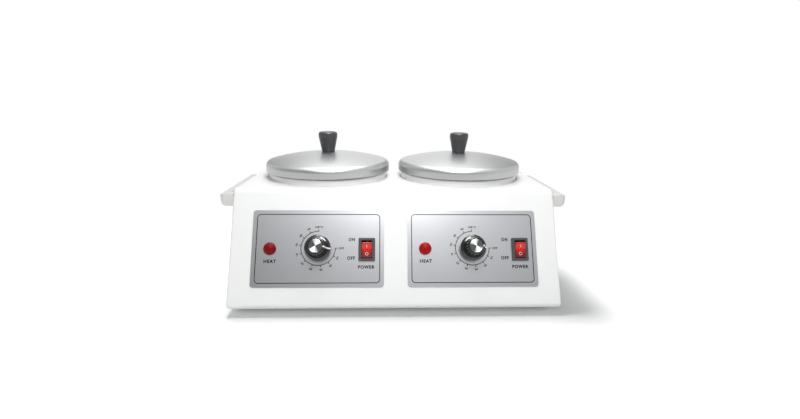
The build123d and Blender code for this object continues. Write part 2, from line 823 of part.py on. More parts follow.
def terminal_block():
    """Moulded terminal strip on the base plate behind the wells, bored for its wires."""
    strip = block(block_length, block_depth, z_bottom, z_bottom + block_height, block_corner)
    strip = fillet(strip.faces().sort_by(Axis.Z)[-1].edges(), block_round)
    pitch = block_length / block_ways
    tunnel = Rot(90, 0, 0) * disc(block_way_radius, -block_depth, block_depth)
    clamp = disc(block_way_radius, z_bottom + block_height / 2, 2 * z_bottom + block_height)
    for i in range(block_ways):
        x = (i - (block_ways - 1) / 2) * pitch
        strip -= Pos(x, 0, z_bottom + block_height / 2) * tunnel
        strip -= Pos(x, 0, 0) * clamp
    return Pos(0, y_shell - hem_width - inlet_body_depth - block_depth, 0) * strip


# Write every node

def screw_groups():
    """Screws that share a node because they are alike."""
    up = [Pos(x, y, z_base) * Rot(180, 0, 0) * pan_screw(screw_length) for x, y in base_screw_places()]
    rear = [Pos(x, y_back, z) * Rot(-90, 0, 0) * pan_screw(screw_length) for x, z in rear_screw_places()]
    feet = [Pos(x, y, foot_recess) * Rot(180, 0, 0) * pan_screw(screw_length) for x, y in foot_places()]
    inside = housing_width / 2 - sheet
    sides = []
    for sign in SIDES.values():
        turn = Rot(0, -90 * sign, 0)
        for y, z in handle_screw_places():
            sides.append(Pos(sign * inside, y, z) * turn * pan_screw(screw_length))
    inlet = [inlet_place * Pos(x, 0, inlet_flange) * inlet_screw() for x in inlet_screw_places()]
    clamps = [station(side) * clamp_screw() for side in SIDES]
    return {
        "base_screws": up, "rear_screws": rear, "foot_screws": feet,
        "handle_screws": sides, "inlet_screws": inlet, "clamp_screws": clamps,
    }


def all_nodes():
    """Every node's solids, by name."""
    nodes = {
        "housing_shell": housing_shell(), "base_plate": base_plate(), "rear_panel": rear_panel(),
        "mains_inlet": mains_inlet(), "inlet_pins": inlet_pins(), "terminal_block": terminal_block(),
    }
    corners = ("front_left", "front_right", "rear_left", "rear_right")
    for corner, (x, y) in zip(corners, foot_places()):
        nodes[f"foot_{corner}"] = Pos(x, y, 0) * foot()
    at_station = {
        "collar_ring": collar_ring(), "well": well(), "pot": pot(), "lid": lid(),
        "lid_knob": lid_knob(), "lid_screw": lid_screw(), "heater_band": heater_band(),
        "thermal_cutout": thermal_cutout(), "well_bracket": well_bracket(),
    }
    at_switch = {"power_switch": power_switch(), "rocker": rocker()}
    at_lamp = {"lamp_body": lamp_body(), "lamp_lens": lamp_lens(), "lamp_ring": lamp_ring()}
    at_dial = {
        "thermostat": thermostat(), "thermostat_nut": thermostat_nut(),
        "thermostat_spindle": thermostat_spindle(), "control_knob": control_knob(),
        "knob_cap": knob_cap(),
    }
    for side in SIDES:
        nodes[f"control_plate_{side}"] = control_plate(side)
        nodes[f"handle_{side}"] = handle(side)
        groups = (
            (station(side), at_station), (on_plate(side, switch_across, switch_up), at_switch),
            (on_plate(side, lamp_across, lamp_up), at_lamp), (on_plate(side), at_dial),
        )
        for place, shapes in groups:
            for name, shape in shapes.items():
                nodes[f"{name}_{side}"] = place * shape
    nodes.update(screw_groups())
    return nodes


os.makedirs("parts", exist_ok=True)
for name, shape in all_nodes().items():
    solids = shape if isinstance(shape, list) else shape.solids()
    whole = solids[0] if len(solids) == 1 else Compound(children=[Solid(s.wrapped) for s in solids])
    export_step(whole, f"parts/{name}.step")
    print(name, len(solids))
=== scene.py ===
"""Double wax warmer: finishes, turned and printed detail, and studio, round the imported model."""

import json
import logging
import math
from dataclasses import dataclass, replace
from enum import Enum
from typing import Any, Optional, Sequence

import bmesh
import bpy
from mathutils import Matrix, Vector


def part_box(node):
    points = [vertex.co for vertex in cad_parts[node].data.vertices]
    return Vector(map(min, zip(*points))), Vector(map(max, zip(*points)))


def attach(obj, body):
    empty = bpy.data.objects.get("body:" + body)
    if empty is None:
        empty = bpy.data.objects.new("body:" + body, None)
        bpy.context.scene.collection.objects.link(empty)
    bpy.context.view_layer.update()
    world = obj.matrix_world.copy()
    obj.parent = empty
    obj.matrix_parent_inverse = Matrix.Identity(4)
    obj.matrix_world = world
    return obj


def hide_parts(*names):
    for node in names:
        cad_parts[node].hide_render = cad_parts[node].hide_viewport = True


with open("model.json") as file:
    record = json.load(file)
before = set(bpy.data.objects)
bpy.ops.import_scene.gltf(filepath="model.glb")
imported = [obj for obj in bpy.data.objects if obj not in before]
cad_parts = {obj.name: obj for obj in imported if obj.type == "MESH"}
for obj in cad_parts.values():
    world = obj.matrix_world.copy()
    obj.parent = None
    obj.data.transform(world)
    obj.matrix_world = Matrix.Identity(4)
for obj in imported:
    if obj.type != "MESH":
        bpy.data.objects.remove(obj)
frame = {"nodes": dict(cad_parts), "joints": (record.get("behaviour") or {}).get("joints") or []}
log = logging.getLogger("wax_warmer")

Tree = bpy.types.NodeTree
Socket = bpy.types.NodeSocket
Triple = tuple[float, float, float]
Outline = Sequence[tuple[float, float]]

MM = 0.001
TOUCH = 0.0001
TURN_STEPS = 144
CORNER_STEPS = 6
SHARP_ANGLE = math.radians(32)
RECESS_TAPER = 0.6
HOUSING = "housing"
DOWNWARDS = (0.0, 0.0, -1.0)
REARWARDS = (0.0, 1.0, 0.0)
SMOOTHLY = {"interpolation_type": "SMOOTHSTEP"}


class Side(Enum):
    """The two stations, as a user facing the warmer sees them."""

    LEFT = "left"
    RIGHT = "right"


class Slot(Enum):
    """Material slots of the record, one named for each new piece."""

    LID = "lid_aluminium"
    CAP = "turned_aluminium"
    PLATE = "plate_aluminium"
    GLOSS = "black_gloss"
    MATTE = "black_matte"
    ROCKER = "red_rocker"
    LENS = "red_lens"
    ZINC = "zinc_steel"
    RUBBER = "rubber"


class Grain(Enum):
    """Ways a surface was worked, which set the direction of its fine lines."""

    TURNED = "round an axis"
    BRUSHED = "along the width"
    ROLLED = "no direction"
    PRISMS = "a grid of small prisms"


# Degrees that the end caps' painted highlight wedges are turned through, and that each pointer
# stands past the start of its scale, clockwise
PAINTED_WEDGE_ANGLE = {Side.LEFT: 70.0, Side.RIGHT: 118.0}
POINTER_ANGLE = {Side.LEFT: 5.0, Side.RIGHT: 0.0}


def linear(colour: str) -> tuple[float, float, float, float]:
    """Turns an sRGB hex value to a linear colour with full alpha.

    Args:
        colour: Hex value such as "#f2f3f1".

    Returns:
        Red, green, blue and alpha.
    """
    levels = [int(colour[i : i + 2], 16) / 255 for i in (1, 3, 5)]
    curved = [c / 12.92 if c <= 0.04045 else ((c + 0.055) / 1.055) ** 2.4 for c in levels]
    return (curved[0], curved[1], curved[2], 1.0)


def add_node(
    tree: Tree, kind: str, inputs: dict[Any, Any], out: Optional[str] = None, **settings: Any
) -> Optional[Socket]:
    """Adds a node, sets its properties, and fills or links its inputs.

    Args:
        tree: Node tree that takes the node.
        kind: Blender's name for the kind of node.
        inputs: Value or output socket by input name or number.
        out: Name of the output that is wanted, if that isn't the first in use.
        settings: The node's own properties.

    Returns:
        The output, or nothing from a node that has none.
    """
    made = tree.nodes.new(kind)
    for name, value in settings.items():
        setattr(made, name, value)
    for key, value in inputs.items():
        if isinstance(value, bpy.types.NodeSocket):
            tree.links.new(value, made.inputs[key])
        else:
            made.inputs[key].default_value = value
    return made.outputs[out] if out else next((s for s in made.outputs if s.enabled), None)


def bare_tree(owner: bpy.types.ID) -> Tree:
    """Gives a material or world an empty node tree."""
    owner.use_nodes = True
    owner.node_tree.nodes.clear()
    return owner.node_tree


def per_metre(millimetres: float) -> float:
    """Scale of a pattern whose features are that many millimetres apart."""
    return 1.0 / (millimetres * MM)


@dataclass(frozen=True)
class Finish:
    """A surface with a mottled colour, an uneven roughness and a fine relief.

    Lengths are in millimetres. A grain finer than a pixel is drawn coarser than it is and shallow,
    so that it still breaks up the light a little. A painted wedge is the angle, in degrees, of two
    bright fans of painted highlight about the centre, with painted shade between them. A painted
    glow is the two distances between which the colour fades from painted glow to painted shade.
    """

    name: str
    colour: str
    shade: str
    roughness: float
    spread: float = 0.06
    grain: float = 1.2
    relief: float = 0.02
    mottle: float = 30.0
    metallic: float = 0.0
    ior: float = 1.5
    coat: float = 0.0
    subsurface: float = 0.0
    scatter: float = 2.0
    centre: Triple = (0.0, 0.0, 0.0)
    lean: float = 0.0
    direction: Grain = Grain.ROLLED
    streak: float = 30.0
    speckle: float = 0.0
    painted_wedge: Optional[float] = None
    painted_wedge_blur: float = 0.3
    painted_glow: Optional[tuple[float, float]] = None

    def place(self, tree: Tree, lean: float) -> Socket:
        """Object coordinates about the finish's own centre.

        Args:
            tree: Node tree of the material.
            lean: Angle of the pattern about X, in radians.

        Returns:
            The coordinates, in metres.
        """
        source = add_node(tree, "ShaderNodeTexCoord", {}, "Object")
        about = {"Vector": source, "Location": self.centre, "Rotation": (lean, 0.0, 0.0)}
        return add_node(tree, "ShaderNodeMapping", about, vector_type="TEXTURE")

    def grain_level(self, tree: Tree, place: Socket) -> Socket:
        """Height of the fine lines or pits that the way of working left.

        Args:
            tree: Node tree of the material.
            place: Coordinates on the piece, in metres.

        Returns:
            A level from zero to one.
        """
        fine = per_metre(self.grain)
        if self.direction is Grain.TURNED:
            spoke = {0: place, 1: (1.0, 1.0, 0.0)}
            flat = add_node(tree, "ShaderNodeVectorMath", spoke, operation="MULTIPLY")
            radius = add_node(tree, "ShaderNodeVectorMath", {0: flat}, operation="LENGTH")
            rings = {"W": radius, "Scale": fine, "Detail": 3.0}
            return add_node(tree, "ShaderNodeTexNoise", rings, noise_dimensions="1D")
        if self.direction is Grain.BRUSHED:
            drawn = {"Vector": place, "Scale": (self.grain / self.streak, 1.0, 1.0)}
            place = add_node(tree, "ShaderNodeMapping", drawn)
        if self.direction is Grain.PRISMS:
            grid = {"Vector": place, "Scale": fine, "Randomness": 0.15}
            return add_node(tree, "ShaderNodeTexVoronoi", grid)
        pits = {"Vector": place, "Scale": fine, "Detail": 3.0}
        return add_node(tree, "ShaderNodeTexNoise", pits)

    def shade_level(self, tree: Tree, place: Socket) -> Socket:
        """How far the colour leans to the finish's shade: painted wedges, a painted glow or a
        mottle.

        Args:
            tree: Node tree of the material.
            place: Coordinates on the piece, in metres.

        Returns:
            A level from zero to one.
        """
        # Painted highlight and painted shade: two opposite bright fans about the centre, dark
        # between
        if self.painted_wedge is not None:
            turn = add_node(
                tree, "ShaderNodeTexGradient", {"Vector": place}, "Fac", gradient_type="RADIAL"
            )
            twice = {0: turn, 1: 2 * math.tau, 2: -2 * math.radians(self.painted_wedge)}
            around = add_node(tree, "ShaderNodeMath", twice, operation="MULTIPLY_ADD")
            wave = add_node(tree, "ShaderNodeMath", {0: around}, operation="COSINE")
            fan = {"Value": wave, "From Min": self.painted_wedge_blur, "From Max": -self.painted_wedge_blur}
            return add_node(tree, "ShaderNodeMapRange", fan, **SMOOTHLY)
        # Painted glow: the colour is brightest near the centre and fades into painted shade
        # further off
        if self.painted_glow is not None:
            near, far = self.painted_glow
            away = add_node(tree, "ShaderNodeVectorMath", {0: place}, operation="LENGTH")
            fade = {"Value": away, "From Min": near * MM, "From Max": far * MM}
            return add_node(tree, "ShaderNodeMapRange", fade, **SMOOTHLY)
        cloud = {"Vector": place, "Scale": per_metre(self.mottle), "Detail": 4.0}
        broad = add_node(tree, "ShaderNodeTexNoise", cloud)
        dust = {"Vector": place, "Scale": per_metre(self.grain * 2), "Detail": 3.0}
        fine = add_node(tree, "ShaderNodeTexNoise", dust)
        return add_node(tree, "ShaderNodeMix", {"Factor": self.speckle, "A": broad, "B": fine})

    def across_grain(self, tree: Tree) -> Socket:
        """Direction away from the turning axis, which the tool marks run square to.

        Args:
            tree: Node tree of the material.

        Returns:
            The direction.
        """
        away = {"Vector": self.place(tree, 0.0)}
        kinds = {"vector_type": "VECTOR", "convert_from": "OBJECT", "convert_to": "WORLD"}
        return add_node(tree, "ShaderNodeVectorTransform", away, **kinds)

    def material(self) -> bpy.types.Material:
        """Builds the material once and hands out the same one after that.

        Returns:
            The material.
        """
        if self.name in bpy.data.materials:
            return bpy.data.materials[self.name]
        made = bpy.data.materials.new(self.name)
        tree = bare_tree(made)
        place = self.place(tree, self.lean)
        level = self.grain_level(tree, place)
        tone = level if self.direction is Grain.PRISMS else self.shade_level(tree, place)
        tones = {"Factor": tone, "A": linear(self.colour), "B": linear(self.shade)}
        colour = add_node(tree, "ShaderNodeMix", tones, data_type="RGBA")
        smooth, rough = self.roughness - self.spread, self.roughness + self.spread
        span = {"Value": level, "To Min": smooth, "To Max": rough}
        height = {"Height": level, "Strength": 1.0, "Distance": self.relief * MM}
        surface = {
            "Base Color": colour,
            "Roughness": add_node(tree, "ShaderNodeMapRange", span),
            "Normal": add_node(tree, "ShaderNodeBump", height),
            "Metallic": self.metallic,
            "IOR": self.ior,
            "Coat Weight": self.coat,
            "Subsurface Weight": self.subsurface,
            "Subsurface Scale": self.scatter * MM,
        }
        if self.painted_wedge is not None:
            surface |= {"Anisotropic": 1.0, "Tangent": self.across_grain(tree)}
        shader = add_node(tree, "ShaderNodeBsdfPrincipled", surface)
        add_node(tree, "ShaderNodeOutputMaterial", {"Surface": shader})
        return made


# Polyester powder coat on steel, sprayed and baked: a satin white skin with a faint orange peel
POWDER_COAT = Finish(
    "powder_coat", "#f3f4f2", "#eff0ee", 0.4, spread=0.05, grain=2.4, relief=0.012, mottle=60
)
# Moulded polypropylene from a spark-eroded tool: soft white with a dull sheen
WHITE_MOULDING = Finish(
    "white_polypropylene", "#fafaf8", "#f6f6f4", 0.42, grain=1.6, relief=0.01, mottle=25
)
# The handles' moulding: the rings' white plastic painted greyer as painted shade, with a coarser
# tooth
SHADED_MOULDING = Finish("shaded_polypropylene", "#d9d9d6", "#d2d2cf", 0.46, grain=1.3, mottle=18)
# Phenolic moulding: near black with a grey bloom and a broad soft highlight
PHENOLIC = Finish("phenolic_moulding", "#434345", "#39393b", 0.3, grain=1.1, mottle=8)
# Polished ABS: deep black with sharp reflections
GLOSS_ABS = Finish(
    "gloss_abs", "#0d0d0e", "#121213", 0.14, spread=0.04, grain=1.5, relief=0.004, mottle=6,
    coat=0.4,
)
# Glass-filled nylon of the switch frames and inlet: dark and even, with a fine matte tooth
NYLON = Finish("glass_filled_nylon", "#444547", "#3c3d3f", 0.5, grain=0.9, relief=0.015, mottle=7)
BLACK_NYLON = Finish("black_nylon", "#1a1a1b", "#202021", 0.5, grain=0.9, relief=0.015, mottle=7)
# Tinted polycarbonate of the rockers, wet gloss: a painted glow of bright red in the middle that
# fades into painted shade of deep red at its edges
ROCKER_RED_PAINTED_GLOW = Finish(
    "tinted_polycarbonate_painted_glow", "#d6200c", "#6c0408", 0.16, spread=0.04, grain=2.0, relief=0.004,
    coat=0.3, subsurface=0.15, painted_glow=(2.6, 8.0),
)
# Tinted acrylic lenses with prisms moulded inside: deep red broken into dots, one lens darker
LENS_RED = Finish(
    "tinted_acrylic", "#b90d12", "#7a0509", 0.4, grain=1.5, relief=0.1, ior=1.25,
    direction=Grain.PRISMS,
)
LENS_DARK = replace(
    LENS_RED, name="tinted_acrylic_dark", colour="#95040d", shade="#520106", roughness=0.42
)
# Cream moulding compound of the hidden fittings: dull and slightly chalky
CREAM = Finish("cream_moulding_compound", "#ddd3b8", "#d0c5a8", 0.6, grain=1.0, mottle=10)
# Nitrile rubber feet: dead black with a dusty bloom
RUBBER = Finish("nitrile_rubber", "#1b1b1b", "#262625", 0.8, grain=1.4, relief=0.03, mottle=9)
# Screen ink on the plates and white paint wiped into the marks: thin, flat and slightly grained
BLACK_INK = Finish(
    "screen_ink", "#08090a", "#0e0f10", 0.6, grain=0.8, relief=0.004, mottle=5, ior=1.2
)
WHITE_PAINT = Finish("filler_paint", "#f4f3f0", "#e6e4e0", 0.5, grain=0.8, relief=0.006, mottle=4)
PINK_PAINT = Finish(
    "worn_filler_paint", "#f2bdb6", "#e79f97", 0.45, grain=0.8, relief=0.006, mottle=4
)
# Zinc plate on steel: grey-blue with a soft cloudy bloom
ZINC = Finish("zinc_plate", "#c3c6c9", "#aeb2b6", 0.34, relief=0.008, mottle=6, metallic=1.0)
# Nickel plate: warmer and brighter than the zinc
NICKEL = Finish(
    "nickel_plate", "#cfccc5", "#c0bdb6", 0.22, grain=1.0, relief=0.004, mottle=8, metallic=1.0
)
# Tinned brass of pins and tabs: pale yellow, dulled in patches
BRASS = Finish(
    "tinned_brass", "#cdb26a", "#b89c58", 0.3, grain=1.0, relief=0.006, mottle=4, metallic=1.0
)
# Rolled heater strip: straw brown from its own heat
HEATER = Finish(
    "heat_tinted_steel", "#a39a88", "#857a68", 0.42, relief=0.01, mottle=12, metallic=1.0
)
# Satin aluminium sheet of the plates: fine lines along the width that spread the light upright
PLATE = Finish(
    "satin_aluminium", "#d8d9dc", "#d1d2d6", 0.3, spread=0.05, grain=0.5, relief=0.004, mottle=40,
    metallic=1.0, direction=Grain.BRUSHED,
)


def spun(name: str, side: Side, colour: str, shade: str, roughness: float, grain: float) -> Finish:
    """Aluminium worked on a spinning lathe: fine rings round a station's axis.

    Args:
        name: Start of the material's name.
        side: Station whose axis the rings run round.
        colour: Brightest tone.
        shade: Duller tone of the handled patches.
        roughness: Middle roughness.
        grain: Distance between rings in millimetres, drawn coarser than the real 0.2 to show.

    Returns:
        The finish.
    """
    return Finish(
        f"{name}_{side.value}", colour, shade, roughness, spread=0.05, grain=grain, relief=0.006,
        mottle=45, metallic=1.0, centre=tuple(station_axis(side)), direction=Grain.TURNED,
        speckle=0.6,
    )


def faced(side: Side) -> Finish:
    """Aluminium bar faced on a lathe: rings that throw the light into two opposite bright wedges.

    The wedges are mostly the lamps' own light, spread square to the tool marks. A part of them is
    painted into the colour as a painted highlight and painted shade, so that they show a little
    under any light.

    Args:
        side: Station whose knob wears the cap.

    Returns:
        The finish.
    """
    place = plate_place(side)
    outward = place.to_3x3().col[2].normalized()
    # The light colour is the wedges' painted highlight, the dark one the painted shade between
    # them
    return Finish(
        f"faced_bar_aluminium_{side.value}", "#eceeef", "#7c7e81", 0.3, spread=0.04, grain=0.6,
        relief=0.002, metallic=1.0, centre=tuple(place.translation),
        lean=math.atan2(-outward.y, outward.z), direction=Grain.TURNED, painted_wedge=PAINTED_WEDGE_ANGLE[side],
    )


def station_axis(side: Side) -> Vector:
    """Foot of a well's upright axis on the table, in metres."""
    low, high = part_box(f"collar_ring_{side.value}")
    return Vector(((low.x + high.x) / 2, (low.y + high.y) / 2, 0.0))


def station_place(side: Side) -> Matrix:
    """Takes millimetres about a well's axis to the row frame."""
    return Matrix.Translation(station_axis(side)) @ Matrix.Scale(MM, 4)


def plate_place(side: Side) -> Matrix:
    """Takes millimetres on a control plate to the row frame: X across, Y up the slope, Z outwards.

    The knob's turning axis stands on the plate's middle, square to the slope.

    Args:
        side: Which plate.

    Returns:
        The matrix.
    """
    joint = next(j for j in frame["joints"] if j["name"] == f"knob_{side.value}_turn")
    outward = -Vector(joint["axis"]).normalized()
    across = Vector((1.0, 0.0, 0.0))
    turn = Matrix((across, outward.cross(across), outward)).transposed().to_4x4()
    return Matrix.Translation(joint["pos_m"]) @ turn @ Matrix.Scale(MM, 4)


def shift(across: float, along: float, up: float) -> Matrix:
    """Moves by three distances."""
    return Matrix.Translation((across, along, up))


class Form:
    """A mesh on the bench, in millimetres, shaped by operators and then put in its place."""

    def __init__(self) -> None:
        """Starts with an empty mesh."""
        self.bm = bmesh.new()

    def outline(self, points: Outline, rounds: dict[int, float], upright: bool) -> "Form":
        """Draws one flat face and rounds some of its corners.

        Args:
            points: Corners, as X and Z if the face is upright and as X and Y if it lies flat.
            rounds: Radius by corner number.
            upright: Whether the face stands in the XZ plane.

        Returns:
            This form.
        """
        places = [Vector((a, 0.0, b)) if upright else Vector((a, b, 0.0)) for a, b in points]
        corners = [self.bm.verts.new(p) for p in places]
        self.bm.faces.new(corners)
        for number, radius in rounds.items():
            before = places[number - 1] - places[number]
            after = places[(number + 1) % len(places)] - places[number]
            reach = radius / math.tan(before.angle(after) / 2)
            bmesh.ops.bevel(
                self.bm, geom=[corners[number]], offset=reach, offset_type="OFFSET",
                segments=CORNER_STEPS, profile=0.5, affect="VERTICES", material=-1,
            )
        return self

    def turn(self, points: Outline, rounds: dict[int, float], steps: int = TURN_STEPS) -> "Form":
        """Turns a closed outline of radii and heights about the Z axis.

        Args:
            points: Corners as radius and height.
            rounds: Radius by corner number.
            steps: Facets round the turn.

        Returns:
            This form, closed.
        """
        self.outline(points, rounds, upright=True)
        bmesh.ops.delete(self.bm, geom=self.bm.faces[:], context="FACES_ONLY")
        on_axis = [e for e in self.bm.edges if all(abs(v.co.x) < TOUCH for v in e.verts)]
        bmesh.ops.delete(self.bm, geom=on_axis, context="EDGES")
        return self.sweep(360.0, steps, merge=True)

    def sweep(self, degrees: float, steps: int, merge: bool = False) -> "Form":
        """Sweeps the upright outline about the Z axis.

        Args:
            degrees: How far it goes.
            steps: Facets on the way.
            merge: Whether a full turn's ends become one.

        Returns:
            This form, closed.
        """
        section = self.bm.verts[:] + self.bm.edges[:] + self.bm.faces[:]
        bmesh.ops.spin(
            self.bm, geom=section, cent=(0, 0, 0), axis=(0, 0, 1), dvec=(0, 0, 0),
            angle=math.radians(degrees), steps=steps, use_merge=merge,
        )
        return self.closed()

    def pull(self, along: Vector) -> "Form":
        """Extrudes every face and closes the sides.

        Args:
            along: Direction and distance.

        Returns:
            This form, closed.
        """
        lifted = bmesh.ops.extrude_face_region(self.bm, geom=self.bm.faces[:])["geom"]
        moving = [v for v in lifted if isinstance(v, bmesh.types.BMVert)]
        bmesh.ops.translate(self.bm, verts=moving, vec=along)
        return self.closed()

    def frame_out(self, width: float) -> "Form":
        """Keeps only a border round the flat face.

        Args:
            width: Width of the border.

        Returns:
            This form.
        """
        border = bmesh.ops.inset_region(
            self.bm, faces=self.bm.faces[:], thickness=width, use_boundary=True
        )
        inner = [f for f in self.bm.faces if f not in border["faces"]]
        bmesh.ops.delete(self.bm, geom=inner, context="FACES")
        return self

    def cross_recess(self, height: float, arm: float, width: float, depth: float) -> "Form":
        """Sinks a tapered cross into the flat top of a turned head.

        Args:
            height: Height of the flat.
            arm: Reach of the cross from its middle.
            width: Half the width of its arms.
            depth: How deep it goes.

        Returns:
            This form, closed.
        """
        flat = [f for f in self.bm.faces if all(abs(v.co.z - height) < TOUCH for v in f.verts)]
        bmesh.ops.delete(self.bm, geom=flat, context="FACES")
        rim = [e for e in self.bm.edges if e.is_boundary]
        quarter = [(arm, -width), (arm, width), (width, width)]
        corners = []
        for turn in range(4):
            spin = Matrix.Rotation(turn * math.pi / 2, 3, "Z")
            corners += [self.bm.verts.new(spin @ Vector((x, y, height))) for x, y in quarter]
        cross = [self.bm.edges.new((corners[i - 1], corners[i])) for i in range(len(corners))]
        bmesh.ops.triangle_fill(self.bm, use_beauty=True, edges=rim + cross, normal=(0, 0, 1))
        sunk = bmesh.ops.extrude_edge_only(self.bm, edges=cross)["geom"]
        floor = [v for v in sunk if isinstance(v, bmesh.types.BMVert)]
        bmesh.ops.scale(self.bm, vec=(RECESS_TAPER, RECESS_TAPER, 1.0), verts=floor)
        bmesh.ops.translate(self.bm, vec=(0, 0, -depth), verts=floor)
        edges = [e for e in sunk if isinstance(e, bmesh.types.BMEdge)]
        bmesh.ops.contextual_create(self.bm, geom=edges)
        return self.closed()

    def soften(self, edges: Sequence[bmesh.types.BMEdge], width: float) -> "Form":
        """Rounds some edges.

        Args:
            edges: The edges.
            width: How far the rounding reaches from each.

        Returns:
            This form.
        """
        bmesh.ops.bevel(
            self.bm, geom=list(edges), offset=width, offset_type="OFFSET", segments=3,
            profile=0.5, affect="EDGES", material=-1, clamp_overlap=True,
        )
        return self

    def closed(self) -> "Form":
        """Merges doubles and turns every face outwards."""
        bmesh.ops.remove_doubles(self.bm, verts=self.bm.verts[:], dist=TOUCH)
        bmesh.ops.recalc_face_normals(self.bm, faces=self.bm.faces[:])
        return self

    def moved(self, matrix: Matrix) -> "Form":
        """Moves or turns the whole form."""
        bmesh.ops.transform(self.bm, matrix=matrix, verts=self.bm.verts[:])
        return self

    def join(self, other: "Form") -> "Form":
        """Takes in another form.

        Args:
            other: The other form, which is used up.

        Returns:
            This form.
        """
        carrier = bpy.data.meshes.new("carrier")
        other.bm.to_mesh(carrier)
        other.bm.free()
        self.bm.from_mesh(carrier)
        bpy.data.meshes.remove(carrier)
        return self

    def piece(
        self, name: str, place: Matrix, finish: Finish, body: str, slot: Slot, *stands_for: str
    ) -> None:
        """Puts the form in its place as a finished piece that rides on a body.

        Args:
            name: The piece's name.
            place: Matrix from millimetres to the row frame.
            finish: What it is made of.
            body: Body that it moves with.
            slot: The record's material slot, which is not used.
            stands_for: Nodes that it replaces.
        """
        self.moved(place)
        mesh = bpy.data.meshes.new(name)
        self.bm.to_mesh(mesh)
        self.bm.free()
        mesh.shade_smooth()
        mesh.set_sharp_from_angle(angle=SHARP_ANGLE)
        mesh.materials.append(finish.material())
        made = bpy.data.objects.new(name, mesh)
        bpy.context.scene.collection.objects.link(made)
        even = made.modifiers.new("even_flats", "WEIGHTED_NORMAL")
        even.keep_sharp = True
        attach(made, body)
        if stands_for:
            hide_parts(*stands_for)
        log.info("%s: %d faces, %s, on %s", name, len(mesh.polygons), finish.name, body)


def flat_bar(low: tuple[float, float], high: tuple[float, float], thickness: float) -> Form:
    """Flat bar.

    Args:
        low: Its lower left corner.
        high: Its upper right corner.
        thickness: How far it stands up.

    Returns:
        The bar, closed.
    """
    corners = [low, (high[0], low[1]), high, (low[0], high[1])]
    return Form().outline(corners, {}, upright=False).pull(Vector((0, 0, thickness)))


def flat_ring(near: float, far: float, thickness: float, degrees: float, steps: int) -> Form:
    """Flat ring, or part of one, between two radii.

    Args:
        near: Inner radius.
        far: Outer radius.
        thickness: How far it stands up.
        degrees: How far round it goes, anticlockwise from the right.
        steps: Facets round it.

    Returns:
        The ring, closed.
    """
    section = [(near, 0), (far, 0), (far, thickness), (near, thickness)]
    return Form().outline(section, {}, upright=True).sweep(degrees, steps)


def loose_boxes(node: str) -> list[tuple[Vector, Vector]]:
    """Boxes of the separate solids that share one node, in metres.

    Args:
        node: The node's name.

    Returns:
        Lowest and highest corner of each solid.
    """
    bm = bmesh.new()
    bm.from_mesh(frame["nodes"][node].data)
    bmesh.ops.remove_doubles(bm, verts=bm.verts[:], dist=TOUCH * MM)
    waiting = set(bm.verts)
    boxes = []
    while waiting:
        island = {waiting.pop()}
        front = list(island)
        while front:
            near = {e.other_vert(v) for v in front for e in v.link_edges} - island
            island |= near
            front = list(near)
        waiting -= island
        spans = [[v.co[i] for v in island] for i in range(3)]
        boxes.append((Vector([min(s) for s in spans]), Vector([max(s) for s in spans])))
    bm.free()
    return boxes


def dress(finish: Finish, *nodes: str) -> None:
    """Gives carried-over nodes their material."""
    for node in nodes:
        frame["nodes"][node].material_slots[0].material = finish.material()
        log.info("%s: %s", node, finish.name)


@dataclass
class Paired:
    """A sub-assembly that is there twice, once at each station."""

    side: Side

    def named(self, stem: str) -> str:
        """Name of this side's own node, body or piece."""
        return f"{stem}_{self.side.value}"


